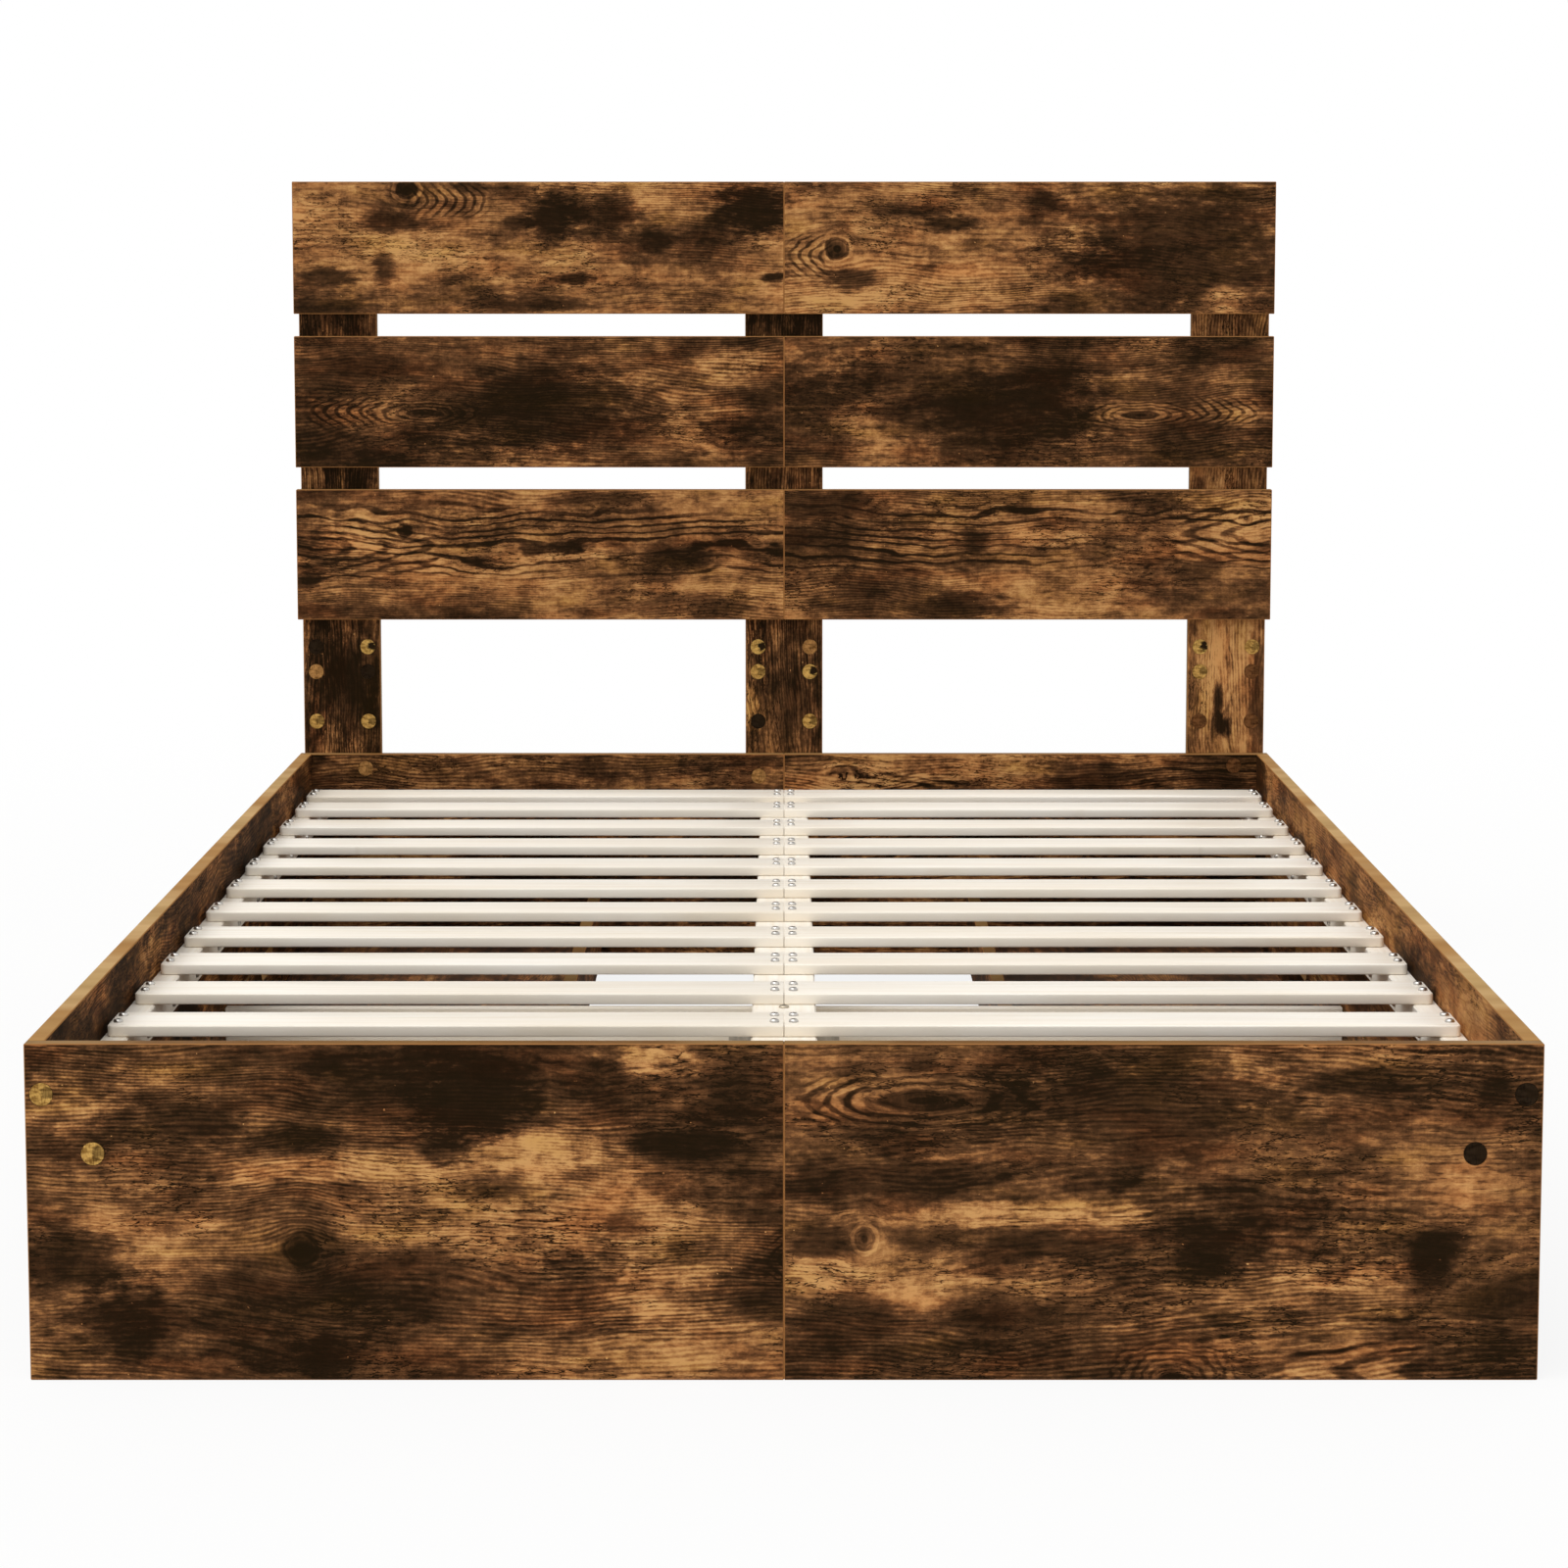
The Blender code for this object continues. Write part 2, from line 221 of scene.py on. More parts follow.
# %% Helpers for groups and materials
def shader_group(title, vectors, numbers, outputs, colours=()):
    """Empty node group: the wires of its named inputs, and its output node."""
    tree = bpy.data.node_groups.new(title, "ShaderNodeTree")
    inputs = {}
    for kind, names in (("Vector", vectors), ("Float", numbers), ("Color", colours)):
        inputs.update(dict.fromkeys(names, kind))
    for direction, sockets in (("INPUT", inputs), ("OUTPUT", outputs)):
        for name, kind in sockets.items():
            tree.interface.new_socket(name, in_out=direction, socket_type="NodeSocket" + kind)
    entry = tree.nodes.new("NodeGroupInput")
    return {name: Wire(entry, name) for name in inputs}, tree.nodes.new("NodeGroupOutput")


def finish_group(out, outputs):
    """The group of an output node, once its outputs are connected."""
    connect(out, outputs)
    print("group", out.id_data.name, "has", len(out.id_data.nodes), "nodes")
    return out.id_data


def use_group(group, inputs):
    """Wires of a group's outputs, by name."""
    node = add("ShaderNodeGroup", inputs, node_tree=group)
    return {socket.name: Wire(node, socket.name) for socket in node.outputs}


def new_material(title):
    """Material and its Principled shader."""
    material = bpy.data.materials.new(title)
    material.use_nodes = True
    return material, material.node_tree.nodes["Principled BSDF"]


def coordinates(shader, kind="Object"):
    """Texture coordinates in the material of a shader."""
    return Wire(shader.id_data.nodes.new("ShaderNodeTexCoord"), kind)

# %% [markdown]
# The boards are covered with a printed film. Its grain runs along the board, so every pattern below
# works in board coordinates: metres along the board and metres across it. Noise that is squeezed across
# the board draws grain, and noise that is nearly even draws the blotches. In the tables below, a noise
# is its changes per metre along and across the board, a seed that moves it to another place, and where
# they aren't the usual ones, its detail and roughness.

# %% Noise that is stretched along the board
SEED_STEPS = (3.7, 1.9, 1.0)


def board_noise(vector, along, across, seed, detail=3.0, roughness=0.6):
    """Noise with that many changes per metre along and across the board."""
    stretched = vector_maths("MULTIPLY", vector, (along, across, 1.0))
    moved = vector_maths("ADD", stretched, [seed * step for step in SEED_STEPS])
    return Wire(add("ShaderNodeTexNoise",
                    {"Vector": moved, "Scale": 1.0, "Detail": detail, "Roughness": roughness}))


def centred(noise, strength):
    """Noise turned into a push up and down."""
    return (noise - 0.5) * strength


def swing(vector, strength, *noise):
    """Push up and down by stretched noise."""
    return centred(board_noise(vector, *noise), strength)


def places(vector, start, end, *noise):
    """0 where stretched noise is below start and 1 where it is above end."""
    return smooth_step(board_noise(vector, *noise), start, end)

# %% [markdown]
# Grain flows round a knot as water flows round a post. Shrinking the distance across the board near the
# knot does that: lines of equal value bulge outwards. The same distance draws the eye and its rings.

# %% Knot group
KNOT_INPUTS = ("Radius", "Stretch", "Reach")
KNOT_NOISE = (22, 60, 5.0)
LEAST_KNOT_SIZE = 0.65
KNOT_SIZE_CHANGE = 0.7
GRAIN_BEND = 1.6
EYE_EDGE = (0.6, 1.0)
RADIANS_PER_RADIUS = 8.5
KNOT_RING_TURN = (-0.2, 0.9)
KNOT_RING_MIDDLE = 0.45
RING_FADE_SHARE = 0.75


def knot_group():
    """Bends grain round a knot, and draws its eye and rings."""
    given, out = shader_group("knot", ["Vector", "Centre"], KNOT_INPUTS,
                              {"Vector": "Vector", "Eye": "Float", "Rings": "Float"})
    away = split(vector_maths("SUBTRACT", given["Vector"], given["Centre"]))
    along = away["X"] / given["Stretch"]
    size = LEAST_KNOT_SIZE + board_noise(given["Vector"], *KNOT_NOISE) * KNOT_SIZE_CHANGE
    share = maths("SQRT", along * along + away["Y"] * away["Y"]) * size / given["Radius"]
    square = share * share
    bend = square / (square + GRAIN_BEND)
    shift = combine(Y=away["Y"] * (bend - 1.0))
    wave = maths("SINE", share * RADIANS_PER_RADIUS)
    rings = smooth_step(wave, *KNOT_RING_TURN) - KNOT_RING_MIDDLE
    fade = fall(share, given["Reach"] * RING_FADE_SHARE, given["Reach"])
    return finish_group(out, {"Vector": vector_maths("ADD", given["Vector"], shift),
                              "Eye": fall(share, *EYE_EDGE), "Rings": rings * fade})


KNOT = knot_group()

# %% [markdown]
# Where a saw meets the growth rings at a slant, they show as nested arches with their tips along the
# board. Lines of equal value of one simple sum draw them: the distance from the arches' middle line,
# less a share of the distance behind the tip.

# %% Arch group
ARCH_INPUTS = ("Direction", "Length", "Half Width", "Spacing", "Slope", "Tip Radius")
ARCH_SWING = (0.020, 14, 40, 15.0)
ARCH_TURN = (0.0, 0.9)
ARCH_MIDDLE = 0.40
TIP_EDGE = (-0.01, 0.01)
END_FADE_SHARE = 0.6
SIDE_FADE_SHARE = 0.5


def arch_group():
    """Nested arches that open away from their tip."""
    given, out = shader_group("arches", ["Vector", "Tip"], ARCH_INPUTS, {"Lines": "Float"})
    away = split(vector_maths("SUBTRACT", given["Vector"], given["Tip"]))
    behind = away["X"] * (given["Direction"] * -1.0)
    aside = away["Y"] + swing(given["Vector"], *ARCH_SWING)
    rounded = maths("SQRT", aside * aside + given["Tip Radius"] * given["Tip Radius"])
    wave = maths("SINE", (rounded - behind * given["Slope"]) * math.tau / given["Spacing"])
    lines = smooth_step(wave, *ARCH_TURN) - ARCH_MIDDLE
    start = smooth_step(behind, *TIP_EDGE)
    end = fall(behind, given["Length"] * END_FADE_SHARE, given["Length"])
    side = fall(rounded, given["Half Width"] * SIDE_FADE_SHARE, given["Half Width"])
    return finish_group(out, {"Lines": lines * (start * end * side)})


ARCHES = arch_group()

# %% [markdown]
# The print has soft dark stains and paler worn places at certain spots on each board. One group draws one
# soft spot, and each board places a few of them. All the spots of a board share one ragged edge, which a
# cloudy and a fine sooty noise draw.

# %% Stain groups
STAIN_EDGE = (0.42, 1.30)
CLOUDY_SWING = (2.2, 20, 50, 23.0, 5.0, 0.68)
SOOTY_SWING = (1.2, 75, 230, 24.0, 4.0, 0.70)


def stain_group():
    """One soft spot with a ragged edge."""
    given, out = shader_group("stain", ["Vector", "Centre", "Reach"], ["Ragged"], {"Spot": "Float"})
    away = vector_maths("SUBTRACT", given["Vector"], given["Centre"])
    share = vector_maths("LENGTH", vector_maths("DIVIDE", away, given["Reach"]), output="Value")
    return finish_group(out, {"Spot": fall(share + given["Ragged"], *STAIN_EDGE)})


def ragged_group():
    """Noise that makes the edges of stains ragged."""
    given, out = shader_group("ragged_edge", ["Vector"], [], {"Ragged": "Float"})
    ragged = swing(given["Vector"], *CLOUDY_SWING) + swing(given["Vector"], *SOOTY_SWING)
    return finish_group(out, {"Ragged": ragged})


STAIN = stain_group()
RAGGED = ragged_group()

# %% [markdown]
# On the lowest headboard row the bold growth rings keep to one band along the board. This group gives
# that band, with a wavy border that fades out at both sides.

# %% Ring band group
RING_BAND_EDGES = ("Bottom Start", "Bottom End", "Top Start", "Top End")
RING_BAND_SWING = (0.35, 5.0, 12, 25.0)


def ring_band_group():
    """1 inside a band along the board, and 0 above and below it."""
    given, out = shader_group("ring_band", ["Vector"], ("Height Share", *RING_BAND_EDGES),
                              {"Inside": "Float"})
    share = given["Height Share"] + swing(given["Vector"], *RING_BAND_SWING)
    above = smooth_step(share, given["Bottom Start"], given["Bottom End"])
    below = smooth_step(share, given["Top Start"], given["Top End"])
    return finish_group(out, {"Inside": above * below})


RING_BAND = ring_band_group()

# %% [markdown]
# The print itself: broad light and dark areas, growth rings that wander along the board, fine even
# lines, grain, rough mottling, short cracks, and faint saw marks square to the grain. They add up to one
# tone, which a ramp turns into colours from almost black to pale tan. In the tables, a swing is a
# strength and a noise, and a place is the two values between which a noise turns from 0 to 1.

# %% Values of the smoked-oak print
PRINT_INPUTS = ("Seed", "Tone", "Contrast", "Rings per Metre", "Ring Strength", "Knot Eye", "Knot Rings",
                "Stains")
FILM_OUTPUTS = {"Color": "Color", "Roughness": "Float", "Height": "Float"}
PRINT_SWINGS = {
    "wander": (0.11, 1.9, 5.0, 1.0, 3.0, 0.55),
    "ripple": (0.028, 12, 20, 16.0, 3.0, 0.55),
    "ring spacing": (3.4, 0.8, 15, 17.0, 2.0),
    "ring width": (3.0, 3.2, 42, 18.0),
    "areas": (1.6, 5.0, 9.0, 3.0, 5.0, 0.58),
    "patches": (1.0, 20, 40, 13.0, 4.0, 0.62),
    "mottle": (0.95, 80, 140, 6.0, 6.0, 0.78),
    "grain": (0.45, 7.0, 190, 4.0, 3.0, 0.65),
    "saw marks": (0.10, 420, 9, 7.0, 2.0, 0.5),
}
PRINT_PLACES = {
    "rings": (0.32, 0.54, 3.0, 13, 2.0),
    "fine lines": (0.40, 0.56, 2.2, 7.0, 12.0),
    "pores": (0.55, 0.70, 48, 480, 5.0, 2.0),
    "pore areas": (0.36, 0.60, 6.0, 14, 14.0),
    "crack areas": (0.49, 0.60, 7, 13, 9.0, 2.0),
    "specks": (0.785, 0.815, 210, 240, 10.0, 1.0),
}
CRACK_NOISE = (26, 150, 8.0, 4.0, 0.65)
CRACK_EDGE = (0.004, 0.024)
RING_TURN = (0.25, 1.05)
FINE_LINES_PER_METRE = 285
FINE_LINE_STRENGTH = 0.10
BASE_TONE = 0.55
PORE_DEPTH = 0.24
CRACK_DEPTH = 0.58
RING_DEPTH = 0.34
EYE_DEPTH = 0.45
SPECK_RISE = 0.45
STAIN_COVER = 1.5
LEAST_AREAS = 0.20
LEAST_GRAIN = 0.70
HUE_NOISE = (9, 30, 11.0)
HUE_SHARE = 0.50
REDDISH = ((0.45, 0.75), linear(255, 214, 190))
OLIVE = ((0.50, 0.25), linear(244, 244, 200))
PRINT_ROUGHNESS = 0.50
MOTTLE_ROUGHNESS = 0.18
GRAIN_RELIEF = 0.8
PRINT_STOPS = [
    (0.00, linear(33, 23, 11)),
    (0.20, linear(42, 28, 15)),
    (0.42, linear(75, 50, 30)),
    (0.60, linear(112, 75, 46)),
    (0.78, linear(166, 115, 69)),
    (1.00, linear(206, 156, 98)),
]
print("patterns in the print:", len(PRINT_SWINGS), "swings and", len(PRINT_PLACES), "places")

# %% [markdown]
# The group adds the patterns up. Broad areas and fine lines stay apart until the last sums: a dark stain
# takes away up to four fifths of the broad tone but less than a third of the fine one, so the grain
# still shows in it. The seed moves every pattern, so that each board is cut from another place.

# %% Smoked-oak print group
def print_group():
    """Colour, roughness and relief of the smoked-oak print."""
    given, out = shader_group("smoked_oak_print", ["Vector"], PRINT_INPUTS, FILM_OUTPUTS)
    seed = combine(X=given["Seed"], Y=given["Seed"], Z=given["Seed"])
    place = vector_maths("ADD", given["Vector"], seed)
    swings = {name: swing(place, *values) for name, values in PRINT_SWINGS.items()}
    spots = {name: places(place, *values) for name, values in PRINT_PLACES.items()}

    flow = split(place)["Y"] + swings["wander"]
    ring_number = (flow + swings["ripple"]) * given["Rings per Metre"] + swings["ring spacing"]
    wave = maths("SINE", ring_number * math.tau) + swings["ring width"]
    ring_lines = smooth_step(wave, *RING_TURN) * (spots["rings"] * given["Ring Strength"])
    fine_wave = maths("SINE", flow * (FINE_LINES_PER_METRE * math.tau))
    fine_lines = fine_wave * (spots["fine lines"] * FINE_LINE_STRENGTH)
    pores = spots["pores"] * spots["pore areas"]
    crack_line = abs(board_noise(place, *CRACK_NOISE) - 0.5)
    cracks = spots["crack areas"] * fall(crack_line, *CRACK_EDGE)

    clean = 1.0 - given["Stains"] * STAIN_COVER
    broad = (swings["areas"] + swings["patches"]) * given["Contrast"] + (BASE_TONE + given["Tone"])
    broad = broad * maths("MAXIMUM", clean, LEAST_AREAS)
    fine = swings["mottle"] + (swings["grain"] + (swings["saw marks"] + fine_lines))
    fine = fine - pores * PORE_DEPTH - cracks * CRACK_DEPTH - ring_lines * RING_DEPTH
    fine = fine * given["Contrast"] * maths("MAXIMUM", clean, LEAST_GRAIN)
    tone = broad + fine - given["Knot Rings"] * RING_DEPTH - given["Knot Eye"] * EYE_DEPTH
    tone = tone + spots["specks"] * SPECK_RISE

    colour = ramp(tone, PRINT_STOPS)
    hue = board_noise(place, *HUE_NOISE)
    for turn, film in (REDDISH, OLIVE):
        colour = tint(smooth_step(hue, *turn) * HUE_SHARE, colour, film)
    return finish_group(out, {"Color": colour,
                              "Roughness": PRINT_ROUGHNESS + swings["mottle"] * MOTTLE_ROUGHNESS,
                              "Height": swings["grain"] * GRAIN_RELIEF - cracks})


PRINT = print_group()

# %% [markdown]
# The narrow edges of the boards are covered with a plainer, paler strip, with the same kind of grain in
# tan and golden tones only. It shows where a surface turns away from the printed faces, with a fine
# line of another colour along the corner.

# %% Edge-band group
BAND_AREAS = (3.0, 3.0, 21.0, 3.0, 0.5)
BAND_FIBRE = (9.0, 340, 22.0, 3.0, 0.65)
BAND_FIBRE_SHARE = 0.8
BAND_STOPS = [
    (0.30, linear(128, 104, 62)),
    (0.42, linear(180, 147, 98)),
    (0.52, linear(202, 167, 119)),
    (0.62, linear(172, 129, 78)),
    (0.74, linear(194, 158, 105)),
]
FIBRE_STOPS = [(0.30, linear(205, 190, 170)), (0.62, linear(255, 255, 255))]
EDGE_LINE = linear(158, 110, 64)
LINE_TURN = (0.30, 0.60)
FACE_TURN = (0.75, 0.97)


def edge_band_group():
    """Print on the faces, and the strip and its line on the edges."""
    given, out = shader_group("edge_band", ["Vector"], ["Facing"], {"Color": "Color"},
                              colours=("Print", "Band Tint"))
    areas = ramp(board_noise(given["Vector"], *BAND_AREAS), BAND_STOPS)
    fibre = ramp(board_noise(given["Vector"], *BAND_FIBRE), FIBRE_STOPS)
    strip = tint(1.0, tint(BAND_FIBRE_SHARE, areas, fibre), given["Band Tint"])
    facing = abs(given["Facing"])
    edge = mix_colour(smooth_step(facing, *LINE_TURN), strip, EDGE_LINE)
    return finish_group(out, {"Color": mix_colour(smooth_step(facing, *FACE_TURN), edge, given["Print"])})


EDGE_BAND = edge_band_group()

# %% [markdown]
# One function makes a board's material from the groups. It turns object coordinates into board
# coordinates, and starts the back from the opposite corner with another seed, so that the two sides
# don't match. Then it places the board's knots, arches and stains, each as shares of its length and
# height, and lays the edge band over what isn't a printed face.

# %% Board material
AXES = {"X": (1, 0, 0), "Y": (0, 1, 0), "Z": (0, 0, 1)}
BAND_TINT = linear(188, 178, 160)
PRINT_GLOSS = 0.015
PRINT_BUMP = (0.35, 0.0004)
BACK_SEED_STEP = 4.3
BACK_TURN = (-0.01, 0.01)
RING_BAND_FADE = 0.08


def other_axis(along, across):
    """The axis that two others leave."""
    return next(axis for axis in "XYZ" if axis not in (along, across))


def board_material(node, along, across, seed, tone=0.0, back_tone=None, contrast=1.0, rings=60.0,
                   ring_strength=0.5, ring_band=None, knots=(), arches=(), stains=(),
                   gloss=PRINT_GLOSS, band_tint=BAND_TINT):
    """Printed finish of one board. Knots are (along, across, radius, stretch, reach of rings, darkness
    of the eye), arches are (along, across, direction, length, half width, spacing, slope, tip radius),
    stains are (along, across, reach along, reach across, darkness), and the ring band is the lowest
    and the highest share of the height that shows growth rings."""
    material, shader = new_material(node + "_print")
    low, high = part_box(node)
    length = (high - low).dot(Vector(AXES[along]))
    height = (high - low).dot(Vector(AXES[across]))
    back_tone = tone if back_tone is None else back_tone
    corner = add("ShaderNodeMapping", {"Vector": coordinates(shader), "Location": tuple(-low)})
    parts = split(Wire(corner))
    facing = split(coordinates(shader, "Normal"))[other_axis(along, across)]
    back = smooth_step(facing, *BACK_TURN)
    board = combine(X=abs(back * length - parts[along]), Y=abs(back * height - parts[across]))

    vector = board
    eyes = 0.0
    lines = 0.0
    for u, v, *shape, darkness in knots:
        knot = use_group(KNOT, {"Vector": vector, "Centre": (u * length, v * height, 0),
                                **dict(zip(KNOT_INPUTS, shape))})
        vector = knot["Vector"]
        eyes = maths("MAXIMUM", eyes, knot["Eye"] * darkness)
        lines = lines + knot["Rings"] * darkness
    for u, v, *shape in arches:
        arch = use_group(ARCHES, {"Vector": board, "Tip": (u * length, v * height, 0),
                                  **dict(zip(ARCH_INPUTS, shape))})
        lines = lines + arch["Lines"]

    stained = 0.0
    ragged = use_group(RAGGED, {"Vector": board})["Ragged"]
    for u, v, reach_u, reach_v, darkness in stains:
        spot = use_group(STAIN, {"Vector": board, "Centre": (u * length, v * height, 0),
                                 "Reach": (reach_u * length, reach_v * height, 1), "Ragged": ragged})
        stained = stained + spot["Spot"] * darkness
    if ring_band:
        bottom, top = ring_band
        edges = (bottom - RING_BAND_FADE, bottom + RING_BAND_FADE, top + RING_BAND_FADE,
                 top - RING_BAND_FADE)
        band = use_group(RING_BAND, {"Vector": board, "Height Share": parts[across] / height,
                                     **dict(zip(RING_BAND_EDGES, edges))})
        ring_strength = band["Inside"] * ring_strength

    printed = use_group(PRINT, {
        "Vector": vector, "Seed": seed + back * BACK_SEED_STEP, "Tone": tone + back * (back_tone - tone),
        "Contrast": contrast, "Rings per Metre": rings, "Ring Strength": ring_strength,
        "Knot Eye": eyes, "Knot Rings": lines, "Stains": stained})
    banded = use_group(EDGE_BAND, {"Vector": board, "Facing": facing, "Print": printed["Color"],
                                   "Band Tint": band_tint})
    connect(shader, {"Base Color": banded["Color"], "Roughness": printed["Roughness"],
                     "Specular IOR Level": gloss, "Normal": bump(printed["Height"], *PRINT_BUMP)})
    nodes[node].material_slots[0].material = material

# %% [markdown]
# The footboard is what the camera sees first. Its left half has black stains, a cracked pale streak and
# one round knot over fine grain. Its right half has a large oval of rings, a pale band and arches at its
# lower edge. The places are shares of each half, counted from its lower left corner.

# %% Footboard and head rail
END_PRINTS = {
    "footboard_left": dict(
        seed=1.3, tone=-0.04, rings=170, ring_strength=0.35,
        knots=[(0.361, 0.39, 0.015, 1.05, 1.15, 1.0)],
        arches=[(0.985, 0.36, -1, 0.05, 0.03, 0.005, 0.5, 0.009)],
        stains=[(0.592, 0.84, 0.085, 0.16, 0.62), (0.49, 0.88, 0.1, 0.12, 0.22),
                (0.231, 0.768, 0.062, 0.075, 0.4), (0.369, 0.718, 0.06, 0.05, 0.4),
                (0.547, 0.69, 0.04, 0.05, 0.38), (0.879, 0.704, 0.068, 0.065, 0.45),
                (0.935, 0.84, 0.05, 0.1, 0.35), (0.35, 0.96, 0.09, 0.055, 0.3),
                (0.608, 0.575, 0.05, 0.055, 0.34), (0.053, 0.355, 0.095, 0.11, 0.4),
                (0.137, 0.17, 0.075, 0.12, 0.42), (0.44, 0.3, 0.22, 0.1, 0.2),
                (0.389, 0.05, 0.04, 0.07, 0.36), (0.97, 0.225, 0.05, 0.06, 0.34),
                (0.79, 0.47, 0.03, 0.05, 0.26), (0.08, 0.85, 0.1, 0.14, -0.2),
                (0.74, 0.7, 0.1, 0.055, -0.15), (0.834, 0.945, 0.075, 0.05, -0.24),
                (0.52, 0.63, 0.22, 0.075, -0.14), (0.8, 0.38, 0.24, 0.28, -0.13)]),
    "footboard_right": dict(
        seed=2.1, tone=-0.01, rings=120, ring_strength=0.45,
        knots=[(0.183, 0.832, 0.0085, 4.4, 3.4, 0.7), (0.106, 0.426, 0.01, 0.8, 1.8, 0.5),
               (0.515, 0.0, 0.0075, 1.5, 5.5, 0.6)],
        arches=[(0.03, 0.83, -1, 0.06, 0.028, 0.0075, 0.45, 0.009),
                (0.66, 0.03, -1, 0.15, 0.036, 0.009, 0.16, 0.01)],
        stains=[(0.476, 0.825, 0.2, 0.19, 0.34), (0.19, 0.83, 0.17, 0.15, 0.14),
                (0.13, 0.6, 0.17, 0.065, 0.28), (0.36, 0.41, 0.095, 0.08, 0.3),
                (0.19, 0.426, 0.05, 0.05, 0.26), (0.045, 0.41, 0.05, 0.055, 0.34),
                (0.56, 0.37, 0.04, 0.085, 0.34), (0.863, 0.4, 0.05, 0.065, 0.45),
                (0.853, 0.33, 0.022, 0.1, 0.34), (0.277, 0.184, 0.085, 0.085, 0.32),
                (0.08, 0.19, 0.08, 0.1, 0.26), (0.953, 0.24, 0.06, 0.08, 0.28),
                (0.773, 0.88, 0.09, 0.055, 0.28), (0.937, 0.86, 0.026, 0.06, 0.42),
                (0.31, 0.49, 0.24, 0.045, -0.3), (0.13, 0.3, 0.18, 0.07, -0.22),
                (0.727, 0.41, 0.13, 0.15, -0.22), (0.92, 0.95, 0.1, 0.055, -0.16)]),
    "head_rail_left": dict(
        seed=3.2, tone=-0.02, contrast=1.15, rings=90, ring_strength=0.3,
        stains=[(0.06, 0.8, 0.09, 0.16, 0.22), (0.93, 0.8, 0.1, 0.16, 0.22)]),
    "head_rail_right": dict(
        seed=4.4, tone=0.08, contrast=1.15, rings=75, ring_strength=1.0,
        knots=[(0.13, 0.9, 0.012, 2.2, 1.8, 0.3)],
        arches=[(0.36, 0.84, 1, 0.2, 0.03, 0.008, 0.14, 0.006)],
        stains=[(0.62, 0.9, 0.12, 0.1, 0.34), (0.9, 0.8, 0.14, 0.16, 0.28), (0.1, 0.8, 0.1, 0.1, -0.2)]),
}
for board, finish in END_PRINTS.items():
    board_material(board, "X", "Z", **finish)
print("finished:", *END_PRINTS)

# %% [markdown]
# The headboard rows differ from top to bottom: pale with black stains and round knots at the top, dark
# with long oval rings in the middle, and bold wavy growth rings at the bottom. The posts' grain stands
# upright, so along the board is Z there.

